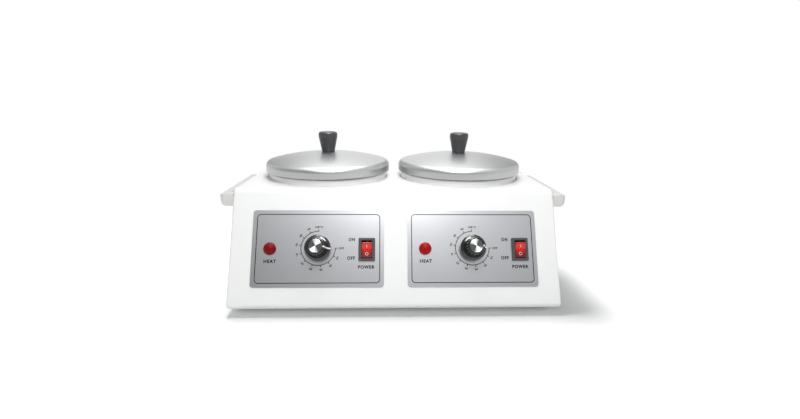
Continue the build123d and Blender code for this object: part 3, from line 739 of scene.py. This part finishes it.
@dataclass
class Lid(Paired):
    """Spun aluminium lid with a skirt, a rounded shoulder and a shallow dome, and its knob."""

    sheet: float = 1.2
    dome_radius: float = 235.0
    dome_points: int = 12
    dome_margin: float = 2.0
    shoulder: float = 5.5
    inner_shoulder: float = 2.8
    hole: float = 1.6
    edge: float = 0.45
    knob_base: float = 6.9
    knob_foot: float = 1.2
    knob_waist: float = 12.8
    knob_widest: float = 16.1
    knob_taper: float = 0.7
    knob_rim: float = 3.2
    knob_dish: float = 0.5
    dish_slope: float = 0.8

    def dome(self, radius: float, crown: float, inset: float) -> tuple[float, float]:
        """Point of the dome.

        Args:
            radius: Distance from the lid's axis.
            crown: Height of the dome's top.
            inset: How far the surface is drawn in from the outside.

        Returns:
            Radius and height.
        """
        ball = self.dome_radius - inset
        return (radius, crown - self.dome_radius + math.sqrt(ball**2 - radius**2))

    def build_cover(self) -> None:
        """Spins the lid from its section."""
        body = self.named("lid")
        low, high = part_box(body)
        radius = (high.x - low.x) / 2 / MM
        rim, crown = low.z / MM, high.z / MM
        inner = radius - self.sheet
        step = (radius - self.shoulder - self.dome_margin) / self.dome_points
        radii = [self.hole + i * step for i in range(self.dome_points)]
        outside = [self.dome(r, crown, 0) for r in [*radii, radius]]
        inside = [self.dome(r, crown, self.sheet) for r in [inner, *reversed(radii)]]
        corner = len(radii)
        rounds = {
            corner: self.shoulder, corner + 1: self.edge, corner + 2: self.edge,
            corner + 3: self.inner_shoulder,
        }
        form = Form().turn([*outside, (radius, rim), (inner, rim), *inside], rounds)
        finish = spun("spun_aluminium", self.side, "#c8c9c9", "#bebfc0", 0.37, 0.9)
        form.piece(self.named("spun_lid"), station_place(self.side), finish, body, Slot.LID, body)

    def build_knob(self) -> None:
        """Turns the tapered knob, with a dished top and a step above its foot."""
        node = self.named("lid_knob")
        low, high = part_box(node)
        foot, top = low.z / MM, high.z / MM
        widest = (high.x - low.x) / 2 / MM
        rim = widest - self.knob_rim
        points = [
            (0, foot), (self.knob_base, foot), (self.knob_base, foot + self.knob_foot),
            (widest - self.knob_taper, foot + self.knob_waist), (widest, foot + self.knob_widest),
            (widest, top), (rim, top), (rim - self.dish_slope, top - self.knob_dish),
            (0, top - self.knob_dish),
        ]
        form = Form().turn(points, {1: 0.4, 4: 8.0, 5: 2.6, 6: 0.6, 7: 0.6})
        place = station_place(self.side)
        form.piece(f"tapered_{node}", place, PHENOLIC, self.named("lid"), Slot.MATTE, node)

    def build(self) -> None:
        """Makes the lid and its knob."""
        self.build_cover()
        self.build_knob()


@dataclass(frozen=True)
class Word:
    """A word printed on a control plate, with the place of its middle."""

    text: str
    width: float
    height: float
    across: float
    up: float


@dataclass
class ControlPrint(Paired):
    """Everything that is screen printed on a control plate: border, scale, numbers and words.

    The strokes are bolder than the built-in face's by the weight, a share of their size, and the
    letters stand further apart by the spacing.
    """

    plate_width: float = 119.0
    plate_height: float = 70.0
    face: float = 0.8
    ink: float = 0.05
    border_inset: float = 3.5
    border_width: float = 0.7
    border_corner: float = 3.6
    scale_radius: float = 15.5
    scale_width: float = 0.6
    scale_steps: int = 90
    tick_length: float = 1.8
    tick_width: float = 0.6
    ticks: int = 11
    sweep: float = 270.0
    number_radius: float = 19.6
    number_height: float = 1.9
    number_width: float = 2.7
    weight: float = 0.042
    spacing: float = 1.22
    words: tuple[Word, ...] = (
        Word("OFF", 4.6, 1.9, 20.9, -0.1), Word("100°C", 7.2, 1.9, 0.4, 19.4),
        Word("HEAT", 11.0, 3.1, -42.8, -11.7), Word("POWER", 14.8, 3.1, 43.6, -17.0),
        Word("ON", 5.7, 3.1, 30.1, 7.9), Word("OFF", 7.0, 3.1, 29.8, -9.0),
    )

    def border(self) -> Form:
        """Rounded border line set in from the plate's edge.

        Returns:
            The line.
        """
        across = self.plate_width / 2 - self.border_inset
        up = self.plate_height / 2 - self.border_inset
        corners = [(-across, -up), (across, -up), (across, up), (-across, up)]
        rounds = {i: self.border_corner for i in range(4)}
        line = Form().outline(corners, rounds, upright=False).frame_out(self.border_width)
        return line.pull(Vector((0, 0, self.ink)))

    def angle(self, number: int) -> float:
        """Direction of a tick, clockwise from the right, in radians."""
        return -math.radians(self.sweep) * number / (self.ticks - 1)

    def scale(self) -> Form:
        """Arc of the dial with its ticks, from the right round below to the top.

        Returns:
            The arc and ticks.
        """
        near = self.scale_radius - self.scale_width / 2
        far = self.scale_radius + self.scale_width / 2
        arc = flat_ring(near, far, self.ink, -self.sweep, self.scale_steps)
        half = self.tick_width / 2
        for number in range(self.ticks):
            tick = flat_bar((near, -half), (self.scale_radius + self.tick_length, half), self.ink)
            arc.join(tick.moved(Matrix.Rotation(self.angle(number), 4, "Z")))
        return arc

    def printed(self, text: str, width: float, height: float) -> Form:
        """Prints one word or number, centred on the origin.

        Args:
            text: The word.
            width: Width of the whole word in millimetres.
            height: Height of its capitals in millimetres.

        Returns:
            The word as a closed form, lying flat.
        """
        curve = bpy.data.curves.new("lettering", "FONT")
        curve.body = text
        curve.extrude = 0.5
        curve.offset = self.weight
        curve.space_character = self.spacing
        carrier = bpy.data.objects.new("lettering", curve)
        mesh = bpy.data.meshes.new_from_object(carrier)
        form = Form()
        form.bm.from_mesh(mesh)
        bpy.data.objects.remove(carrier)
        bpy.data.meshes.remove(mesh)
        low = Vector([min(v.co[i] for v in form.bm.verts) for i in range(3)])
        high = Vector([max(v.co[i] for v in form.bm.verts) for i in range(3)])
        size = high - low
        fit = Matrix.Diagonal((width / size.x, height / size.y, self.ink, 1.0))
        return form.moved(fit @ Matrix.Translation(-(low + high) / 2)).closed()

    def lettering(self) -> Form:
        """The words, and the numbers beside the ticks with their tops outwards.

        Returns:
            All the lettering.
        """
        form = Form()
        for word in self.words:
            middle = shift(word.across, word.up, self.ink / 2)
            form.join(self.printed(word.text, word.width, word.height).moved(middle))
        upright = Matrix.Rotation(-math.pi / 2, 4, "Z")
        beside = shift(self.number_radius, 0, self.ink / 2) @ upright
        for number in range(1, self.ticks - 1):
            mark = self.printed(str(10 * number), self.number_width, self.number_height)
            form.join(mark.moved(Matrix.Rotation(self.angle(number), 4, "Z") @ beside))
        return form

    def build(self) -> None:
        """Prints everything on the plate as one piece."""
        form = self.border().join(self.scale()).join(self.lettering())
        place = plate_place(self.side) @ shift(0, 0, self.face)
        form.piece(self.named("plate_print"), place, BLACK_INK, HOUSING, Slot.PLATE)


@dataclass
class ControlKnob(Paired):
    """Skirted knob with a fluted grip, a turned cap let into its end and a white pointer line."""

    skirt_radius: float = 11.75
    foot: float = 1.6
    wall: float = 1.6
    skirt_height: float = 6.6
    skirt_drop: float = 1.4
    skirt_land: float = 1.9
    grip_radius: float = 8.7
    grip_rise: float = 0.3
    grip_levels: int = 8
    top_radius: float = 7.6
    top: float = 20.0
    seat: float = 0.6
    flutes: int = 18
    flute_depth: float = 0.6
    flute_start: float = 0.4
    flute_end: float = 1.0
    flute_power: float = 0.7
    cap_radius: float = 5.9
    cap_play: float = 0.15
    cap_sunk: float = 0.55
    cap_proud: float = 0.3
    cap_chamfer: float = 0.28
    cap_land: float = 0.5
    groove_pitch: float = 0.45
    groove_depth: float = 0.05
    pointer_width: float = 1.4
    pointer_lift: float = 0.08
    pointer_start: float = 0.3
    bend_in: float = 0.5
    bend_down: float = 0.6

    def shelf(self) -> float:
        """Height of the skirt's top over the plate."""
        return self.foot + self.skirt_height

    def press_flutes(self, form: Form) -> None:
        """Presses the flutes into the grip's side.

        Args:
            form: The turned moulding.
        """
        low, high = self.shelf() + self.flute_start, self.top - self.flute_end
        for vert in form.bm.verts:
            radius = math.hypot(vert.co.x, vert.co.y)
            if not (low < vert.co.z < high and radius > self.cap_radius + 1):
                continue
            phase = math.cos(math.atan2(vert.co.y, vert.co.x) * self.flutes)
            depth = self.flute_depth * max(0.0, -phase) ** self.flute_power
            vert.co.x *= 1 - depth / radius
            vert.co.y *= 1 - depth / radius

    def build_grip(self) -> None:
        """Turns and flutes the moulding."""
        shelf, seat = self.shelf(), self.top - self.seat
        rim = self.cap_radius + self.cap_play
        start = shelf + self.grip_rise
        shrink, climb = self.top_radius - self.grip_radius, self.top - start
        shares = [i / self.grip_levels for i in range(self.grip_levels + 1)]
        side = [(self.grip_radius + shrink * s, start + climb * s) for s in shares]
        hollow, ceiling = self.skirt_radius - self.wall, self.foot + self.wall
        points = [
            (hollow, ceiling), (hollow, self.foot), (self.skirt_radius, self.foot),
            (self.skirt_radius, shelf - self.skirt_drop),
            (self.skirt_radius - self.skirt_land, shelf),
            *side, (rim, self.top), (rim, seat), (0, seat), (0, ceiling),
        ]
        end = 5 + self.grip_levels
        form = Form().turn(points, {2: 0.3, 3: 0.7, 4: 0.5, end: 0.8, end + 1: 0.25})
        self.press_flutes(form)
        node, body, place = self.named("control_knob"), self.named("knob"), plate_place(self.side)
        form.piece(f"fluted_{node}", place, GLOSS_ABS, body, Slot.GLOSS, node)

    def build_cap(self) -> None:
        """Turns the end cap with its fine rings, which throw the light into opposite wedges."""
        low, face = self.top - self.cap_sunk, self.top + self.cap_proud
        edge, land = self.cap_radius, self.cap_radius - self.cap_chamfer
        ridge = []
        for ring in range(int((edge - self.cap_land) / self.groove_pitch), 0, -1):
            ridge.append((ring * self.groove_pitch, face))
            ridge.append(((ring - 0.5) * self.groove_pitch, face - self.groove_depth))
        points = [(0, low), (edge, low), (edge, face - self.cap_chamfer), (land, face)]
        form = Form().turn([*points, *ridge, (0, face)], {})
        node, body, place = self.named("knob_cap"), self.named("knob"), plate_place(self.side)
        form.piece(f"turned_{node}", place, faced(self.side), body, Slot.CAP, node)

    def build_pointer(self) -> None:
        """Lays the white line from the cap over the grip's end and side to the skirt's edge."""
        shelf = self.shelf()
        path = [
            (self.cap_radius + self.pointer_start, self.top),
            (self.top_radius - self.bend_in, self.top),
            (self.top_radius, self.top - self.bend_down),
            (self.grip_radius, shelf + self.grip_rise),
            (self.skirt_radius - self.skirt_land, shelf),
            (self.skirt_radius, shelf - self.skirt_drop),
        ]
        lifted = [(r + self.pointer_lift, z + self.pointer_lift) for r, z in path]
        form = Form().outline(path + lifted[::-1], {}, upright=True)
        form.moved(shift(0, -self.pointer_width / 2, 0))
        form.pull(Vector((0, self.pointer_width, 0)))
        form.moved(Matrix.Rotation(-math.radians(POINTER_ANGLE[self.side]), 4, "Z"))
        place, body = plate_place(self.side), self.named("knob")
        form.piece(self.named("knob_pointer"), place, WHITE_PAINT, body, Slot.GLOSS)

    def build(self) -> None:
        """Makes the moulding, its cap and its pointer line."""
        self.build_grip()
        self.build_cap()
        self.build_pointer()


@dataclass
class Switch(Paired):
    """Rocker with two dished ends, a bar and a ring on them, in its frame on the plate."""

    across: float = 43.9
    up: float = -1.2
    pivot: float = 0.3
    throw: float = 20.0
    width: float = 9.6
    radius: float = 8.0
    crown: float = 2.85
    dish: float = 10.0
    sag: float = 0.1
    face_steps: int = 6
    skirt: float = 4.0
    edge: float = 0.45
    lip: float = 2.2
    # Spot over the raised end, above the plate, where the rocker's painted glow is brightest
    painted_glow_up: float = 2.1
    painted_glow_height: float = 3.0
    mark_lift: float = 0.04
    mark_depth: float = 0.05
    bar_place: float = 3.4
    bar_width: float = 0.6
    bar_length: float = 2.8
    ring_place: float = 3.6
    ring_radii: tuple[float, float] = (1.0, 1.5)
    ring_steps: int = 40

    def place(self) -> Matrix:
        """Takes millimetres about the rocker's pivot, tipped to rest, to the row frame."""
        seat = shift(self.across, self.up, self.pivot)
        tip = Matrix.Rotation(math.radians(self.throw / 2), 4, "X")
        return plate_place(self.side) @ seat @ tip

    def finish(self) -> Finish:
        """The rockers' red, with a painted glow over the raised end and painted shade at its
        edges.

        Returns:
            The finish.
        """
        lamp = Vector((self.across, self.up + self.painted_glow_up, self.painted_glow_height))
        glow = tuple(plate_place(self.side) @ lamp)
        return replace(ROCKER_RED_PAINTED_GLOW, name=self.named(ROCKER_RED_PAINTED_GLOW.name), centre=glow)

    def end(self) -> float:
        """Distance from the middle at which the face meets the round end.

        Returns:
            The distance.
        """
        slope = math.tan(math.radians(self.dish))
        square = 1 + slope**2
        reach = math.sqrt(square * self.radius**2 - self.crown**2)
        return (reach - slope * self.crown) / square

    def face_height(self, along: float) -> float:
        """Height of the dished face over the pivot.

        Args:
            along: Distance from the rocker's middle.

        Returns:
            The height.
        """
        share = min(1.0, abs(along) / self.end())
        bow = self.sag * 4 * share * (1 - share)
        return self.crown + abs(along) * math.tan(math.radians(self.dish)) - bow

    def build_rocker(self) -> None:
        """Extrudes the rocker's side view over its width and rounds its edges."""
        end = self.end()
        steps = range(self.face_steps, -self.face_steps - 1, -1)
        alongs = [end * i / self.face_steps for i in steps]
        low = math.sqrt(self.radius**2 - self.skirt**2)
        points = [(a, self.face_height(a)) for a in alongs]
        form = Form().outline([*points, (-low, -self.skirt), (low, -self.skirt)], {}, upright=True)
        turn = Matrix.Rotation(math.pi / 2, 4, "Z")
        form.moved(turn @ shift(0, -self.width / 2, 0))
        form.pull(Vector((-self.width, 0, 0)))
        rims = [e for e in form.bm.edges if len({round(v.co.x, 3) for v in e.verts}) == 1]
        form.soften(rims, self.edge)
        tips = [
            e for e in form.bm.edges
            if all(v.co.y > end - 0.1 and v.co.z > self.crown for v in e.verts)
        ]
        form.soften(tips, self.lip)
        node = self.named("rocker")
        form.piece(f"dished_{node}", self.place(), self.finish(), node, Slot.ROCKER, node)

    def build_marks(self) -> None:
        """Paints the bar on the raised end and the ring on the pressed one."""
        tilt = math.radians(self.dish)
        high = self.face_height(self.bar_place) + self.mark_lift
        corner = (self.bar_width / 2, self.bar_length / 2)
        bar = flat_bar((-corner[0], -corner[1]), corner, self.mark_depth)
        upper = shift(0, self.bar_place, high) @ Matrix.Rotation(tilt, 4, "X")
        ring = flat_ring(*self.ring_radii, self.mark_depth, 360, self.ring_steps)
        lower = shift(0, -self.ring_place, high) @ Matrix.Rotation(-tilt, 4, "X")
        form = bar.moved(upper).join(ring.moved(lower))
        body = self.named("rocker")
        form.piece(f"{body}_marks", self.place(), PINK_PAINT, body, Slot.ROCKER)

    def build(self) -> None:
        """Makes the rocker and its marks."""
        self.build_rocker()
        self.build_marks()


@dataclass
class Lamp(Paired):
    """Red lens of the heat lamp, domed, with a spigot that goes through the plate."""

    across: float = -43.3
    up: float = -0.4
    radius: float = 5.7
    face: float = 0.8
    edge: float = 1.0
    dome: float = 3.2
    dome_inset: float = 0.25
    dome_steps: int = 10
    spigot: float = 4.2
    spigot_depth: float = 5.0

    def build(self) -> None:
        """Turns the lens."""
        ball = (self.radius**2 + self.dome**2) / (2 * self.dome)
        rim = self.face + self.edge
        centre = rim + self.dome - ball
        reach = self.radius - self.dome_inset
        radii = [reach * i / self.dome_steps for i in range(self.dome_steps, -1, -1)]
        points = [
            (0, -self.spigot_depth), (self.spigot, -self.spigot_depth), (self.spigot, self.face),
            (self.radius, self.face), (self.radius, rim),
            *[(r, centre + math.sqrt(ball**2 - r**2)) for r in radii],
        ]
        form = Form().turn(points, {3: 0.2, 4: 0.3})
        finish = LENS_DARK if self.side is Side.LEFT else LENS_RED
        node = self.named("lamp_lens")
        place = plate_place(self.side) @ shift(self.across, self.up, 0)
        form.piece(f"domed_{node}", place, finish, HOUSING, Slot.LENS, node)


@dataclass
class Screws:
    """The screws of one node, each with a cross recess in its head."""

    node: str
    facing: Triple
    sunk: bool = False
    head_radius: float = 2.9
    head_height: float = 1.9
    head_rim: float = 0.8
    head_flat: float = 2.0
    head_round: float = 0.5
    sunk_depth: float = 1.4
    shank_radius: float = 1.5
    shank_length: float = 7.0
    tip_radius: float = 0.9
    tip_length: float = 0.6
    recess_arm: float = 1.5
    recess_width: float = 0.42
    recess_depth: float = 1.1
    steps: int = 48

    def section(self) -> list[tuple[float, float]]:
        """Outline of half the screw.

        Returns:
            Radius and height over its seat of each corner.
        """
        shank = [
            (0, -self.shank_length), (self.tip_radius, -self.shank_length),
            (self.shank_radius, self.tip_length - self.shank_length),
        ]
        if self.sunk:
            return [*shank, (self.shank_radius, -self.sunk_depth), (self.head_radius, 0), (0, 0)]
        return [
            *shank, (self.shank_radius, 0), (self.head_radius, 0),
            (self.head_radius, self.head_rim), (self.head_flat, self.head_height),
            (0, self.head_height),
        ]

    def build(self) -> None:
        """Turns one screw for each solid of the node and stands it in that solid's place."""
        facing = Vector(self.facing)
        turn = facing.to_track_quat("Z", "Y").to_matrix().to_4x4()
        rise, rounds = (0.0, {}) if self.sunk else (self.head_height, {5: self.head_round})
        form = Form()
        for low, high in loose_boxes(self.node):
            reach = max(abs(i) for i in (high - low) * facing)
            seat = (low + high) / 2 + facing * (reach / 2 - rise * MM)
            screw = Form().turn(self.section(), rounds, self.steps)
            screw.cross_recess(rise, self.recess_arm, self.recess_width, self.recess_depth)
            form.join(screw.moved(Matrix.Translation(seat / MM) @ turn))
        place = Matrix.Scale(MM, 4)
        form.piece(f"cross_{self.node}", place, ZINC, HOUSING, Slot.ZINC, self.node)


@dataclass
class Foot:
    """Rubber foot, wider at its top, with a rounded tread and a recess for its screw."""

    corner: str
    tread: float = 7.0
    recess: float = 3.3
    recess_height: float = 2.3
    hole: float = 1.6
    steps: int = 72

    def build(self) -> None:
        """Turns the foot."""
        node = f"foot_{self.corner}"
        low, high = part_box(node)
        width, height = (high.x - low.x) / 2 / MM, high.z / MM
        points = [
            (self.hole, self.recess_height), (self.recess, self.recess_height), (self.recess, 0),
            (self.tread, 0), (width, height), (self.hole, height),
        ]
        form = Form().turn(points, {2: 0.3, 3: 0.9, 4: 0.3}, self.steps)
        place = shift((low.x + high.x) / 2, (low.y + high.y) / 2, 0) @ Matrix.Scale(MM, 4)
        form.piece(f"rubber_{node}", place, RUBBER, HOUSING, Slot.RUBBER, node)


@dataclass
class Works:
    """The carried-over nodes, each with the finish of the real piece."""

    def build(self) -> None:
        """Dresses every node that shows as it is."""
        dress(POWDER_COAT, "housing_shell", "rear_panel")
        dress(ZINC, "base_plate", "handle_screws", "clamp_screws")
        dress(BLACK_NYLON, "mains_inlet")
        dress(BRASS, "inlet_pins")
        dress(CREAM, "terminal_block")
        for side in Side:
            paired = (
                (spun("drawn_aluminium", side, "#d2d4d6", "#c4c6c9", 0.3, 1.4), "pot", "well"),
                # The handles take the white moulding painted greyer, as painted shade
                (WHITE_MOULDING, "collar_ring"), (SHADED_MOULDING, "handle"),
                (PLATE, "control_plate"), (NYLON, "power_switch"), (HEATER, "heater_band"),
                (ZINC, "well_bracket", "lid_screw", "thermostat_spindle"),
                (NICKEL, "lamp_ring", "thermostat_nut"),
                (CREAM, "thermal_cutout", "lamp_body", "thermostat"),
            )
            for finish, *stems in paired:
                dress(finish, *(f"{stem}_{side.value}" for stem in stems))


@dataclass(frozen=True)
class Wall:
    """A part of the room that shiny surfaces see greyer or brighter than the white round it.

    It starts to tell where the cosine of the angle to its middle passes the start, and has its
    full level past the end.
    """

    facing: Triple
    start: float
    end: float
    level: float
    both_sides: bool = False

    def brightness(self, tree: Tree, sight: Socket) -> Socket:
        """How bright the room is in a direction.

        Args:
            tree: The world's node tree.
            sight: Direction that is looked in.

        Returns:
            The level, which is one away from the wall.
        """
        aim = {0: sight, 1: self.facing}
        near = add_node(tree, "ShaderNodeVectorMath", aim, operation="DOT_PRODUCT")
        if self.both_sides:
            near = add_node(tree, "ShaderNodeMath", {0: near}, operation="ABSOLUTE")
        span = {"Value": near, "From Min": self.start, "From Max": self.end}
        levels = {"To Min": 1.0, "To Max": self.level}
        return add_node(tree, "ShaderNodeMapRange", span | levels, **SMOOTHLY)


@dataclass(frozen=True)
class SoftBox:
    """A square soft lamp, in metres and watts, that lights only the floor or all but the floor."""

    name: str
    place: Triple
    aim: Triple
    size: float
    watts: float
    floor_only: bool = False

    def hang(self, floor: bpy.types.Object, casting: bpy.types.Collection) -> None:
        """Hangs the lamp and links it to what it lights.

        Args:
            floor: The floor.
            casting: Pieces whose shadow a lamp of the floor keeps.
        """
        light = bpy.data.lights.new(self.name, "AREA")
        light.shape = "SQUARE"
        light.size = self.size
        light.energy = self.watts
        made = bpy.data.objects.new(self.name, light)
        made.location = self.place
        away = Vector(self.aim) - Vector(self.place)
        made.rotation_euler = away.to_track_quat("-Z", "Y").to_euler()
        made.visible_camera = False
        bpy.context.scene.collection.objects.link(made)
        lit = bpy.data.collections.new(f"lit_by_{self.name}")
        lit.objects.link(floor)
        state = "INCLUDE" if self.floor_only else "EXCLUDE"
        lit.collection_objects[0].light_linking.link_state = state
        made.light_linking.receiver_collection = lit
        if self.floor_only:
            made.light_linking.blocker_collection = casting


@dataclass
class Studio:
    """Plain pale floor, white surround, soft lamps and the photograph's camera.

    Two lamps light only the floor: the shadow lamp, behind on the left, throws the shadow to the
    front and right, and the floor box softens it from the front. The other lamps leave the floor
    out, so that the object stays evenly lit.
    """

    camera_place: Triple = (-0.01264, -0.4668, 0.19165)
    pitch: float = 0.2517
    yaw: float = 0.0414
    roll: float = -0.0125
    lens: float = 20.25
    sensor: float = 36.0
    floor_half: float = 4.0
    fade_near: float = 0.2
    fade_far: float = 0.46
    floor_glow: float = 0.12
    fill: float = 0.3
    casting: tuple[str, ...] = (
        "housing_shell", "rear_panel", "base_plate", "handle_left", "handle_right",
    )
    # Behind the camera, the grey side walls, a window in each, a grey card and a bright ceiling
    room: tuple[Wall, ...] = (
        Wall((0.0, -1.0, 0.0), 0.78, 0.94, 0.4),
        Wall((1.0, 0.0, 0.0), 0.1, 0.4, 0.4, both_sides=True),
        Wall((1.0, 0.0, 0.0), 0.42, 0.72, 2.1, both_sides=True),
        Wall((-0.8, -0.6, 0.0), 0.5, 0.72, 0.55),
        Wall((0.0, 0.0, 1.0), 0.72, 0.92, 2.8),
    )
    boxes: tuple[SoftBox, ...] = (
        SoftBox("front_box", (0.02, -0.32, 0.51), (0.01, -0.06, 0.06), 0.17, 1.6),
        SoftBox("top_box", (0.0, 0.06, 0.7), (0.0, 0.0, 0.1), 0.45, 1.4),
        SoftBox("back_box", (0.02, 0.24, 0.78), (0.0, 0.02, 0.12), 0.5, 0.9),
        SoftBox("shadow_lamp", (-0.22, 0.6, 1.2), (0.0, 0.0, 0.0), 0.5, 27.0, floor_only=True),
        SoftBox("floor_box", (-0.55, -0.75, 0.55), (0.0, 0.0, 0.0), 1.0, 2.2, floor_only=True),
    )

    def surround(self) -> None:
        """White where the camera looks, and a plain room where a shiny surface looks."""
        world = bpy.data.worlds.new("white_surround")
        bpy.context.scene.world = world
        tree = bare_tree(world)
        path = add_node(tree, "ShaderNodeLightPath", {}).node.outputs
        camera = path["Is Camera Ray"]
        glossy = {0: camera, 1: path["Is Glossy Ray"]}
        seen = add_node(tree, "ShaderNodeMath", glossy, operation="MAXIMUM")
        through = {0: seen, 1: path["Is Transmission Ray"]}
        shown = add_node(tree, "ShaderNodeMath", through, operation="MAXIMUM")
        sight = add_node(tree, "ShaderNodeTexCoord", {}, "Generated")
        room: float | Socket = 1.0
        for wall in self.room:
            both = {0: room, 1: wall.brightness(tree, sight)}
            room = add_node(tree, "ShaderNodeMath", both, operation="MULTIPLY")
        bright = add_node(tree, "ShaderNodeMix", {"Factor": camera, "A": room, "B": 1.0})
        light = {"Color": linear("#f7f9fc"), "Strength": self.fill}
        fill = add_node(tree, "ShaderNodeBackground", light)
        shine = {"Color": linear("#ffffff"), "Strength": bright}
        white = add_node(tree, "ShaderNodeBackground", shine)
        mixed = add_node(tree, "ShaderNodeMixShader", {"Fac": shown, 1: fill, 2: white})
        add_node(tree, "ShaderNodeOutputWorld", {"Surface": mixed})

    def floor(self) -> bpy.types.Object:
        """Pale floor that keeps the object's shadow and fades into the white surround.

        Returns:
            The floor.
        """
        bm = bmesh.new()
        bmesh.ops.create_grid(bm, x_segments=1, y_segments=1, size=self.floor_half)
        mesh = bpy.data.meshes.new("pale_floor")
        bm.to_mesh(mesh)
        bm.free()
        material = bpy.data.materials.new("pale_floor")
        tree = bare_tree(material)
        where = add_node(tree, "ShaderNodeTexCoord", {}, "Object")
        reach = add_node(tree, "ShaderNodeVectorMath", {0: where}, operation="LENGTH")
        span = {"Value": reach, "From Min": self.fade_near, "From Max": self.fade_far}
        levels = {"To Min": self.floor_glow}
        fade = add_node(tree, "ShaderNodeMapRange", span | levels, **SMOOTHLY)
        paper = add_node(tree, "ShaderNodeBsdfDiffuse", {"Color": linear("#f6f6f6")})
        shine = {"Color": linear("#ffffff"), "Strength": 1.0}
        glow = add_node(tree, "ShaderNodeEmission", shine)
        mixed = add_node(tree, "ShaderNodeMixShader", {"Fac": fade, 1: paper, 2: glow})
        add_node(tree, "ShaderNodeOutputMaterial", {"Surface": mixed})
        mesh.materials.append(material)
        made = bpy.data.objects.new("pale_floor", mesh)
        bpy.context.scene.collection.objects.link(made)
        return made

    def lamps(self, floor: bpy.types.Object) -> None:
        """Hangs the soft boxes over the object and the floor's own two lamps.

        Args:
            floor: The floor.
        """
        casting = bpy.data.collections.new("casts_the_floor_shadow")
        for node in self.casting:
            casting.objects.link(frame["nodes"][node])
        for box in self.boxes:
            box.hang(floor, casting)

    def camera(self) -> None:
        """Stands the camera where the photograph was taken."""
        data = bpy.data.cameras.new("photo_camera")
        data.lens = self.lens
        data.sensor_width = self.sensor
        made = bpy.data.objects.new("photo_camera", data)
        level = Vector((math.cos(self.yaw), -math.sin(self.yaw), 0.0))
        heading = Vector((math.sin(self.yaw), math.cos(self.yaw), 0.0))
        ahead = heading * math.cos(self.pitch) - Vector((0.0, 0.0, math.sin(self.pitch)))
        under = ahead.cross(level)
        right = math.cos(self.roll) * level + math.sin(self.roll) * under
        down = math.cos(self.roll) * under - math.sin(self.roll) * level
        turn = Matrix((right, -down, -ahead)).transposed().to_4x4()
        made.matrix_world = Matrix.Translation(self.camera_place) @ turn
        bpy.context.scene.collection.objects.link(made)
        bpy.context.scene.camera = made

    def build(self) -> None:
        """Sets the whole studio up."""
        bpy.context.scene.view_settings.view_transform = "Standard"
        self.camera()
        self.surround()
        self.lamps(self.floor())


def main() -> None:
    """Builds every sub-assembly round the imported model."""
    logging.basicConfig(level=logging.INFO, format="%(message)s")
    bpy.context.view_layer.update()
    Studio().build()
    Works().build()
    Screws("base_screws", DOWNWARDS).build()
    Screws("foot_screws", DOWNWARDS).build()
    Screws("rear_screws", REARWARDS).build()
    Screws("inlet_screws", REARWARDS, sunk=True).build()
    for corner in ("front_left", "front_right", "rear_left", "rear_right"):
        Foot(corner).build()
    for side in Side:
        for assembly in (Lid, ControlPrint, ControlKnob, Switch, Lamp):
            assembly(side).build()


if __name__ == "__main__":
    main()
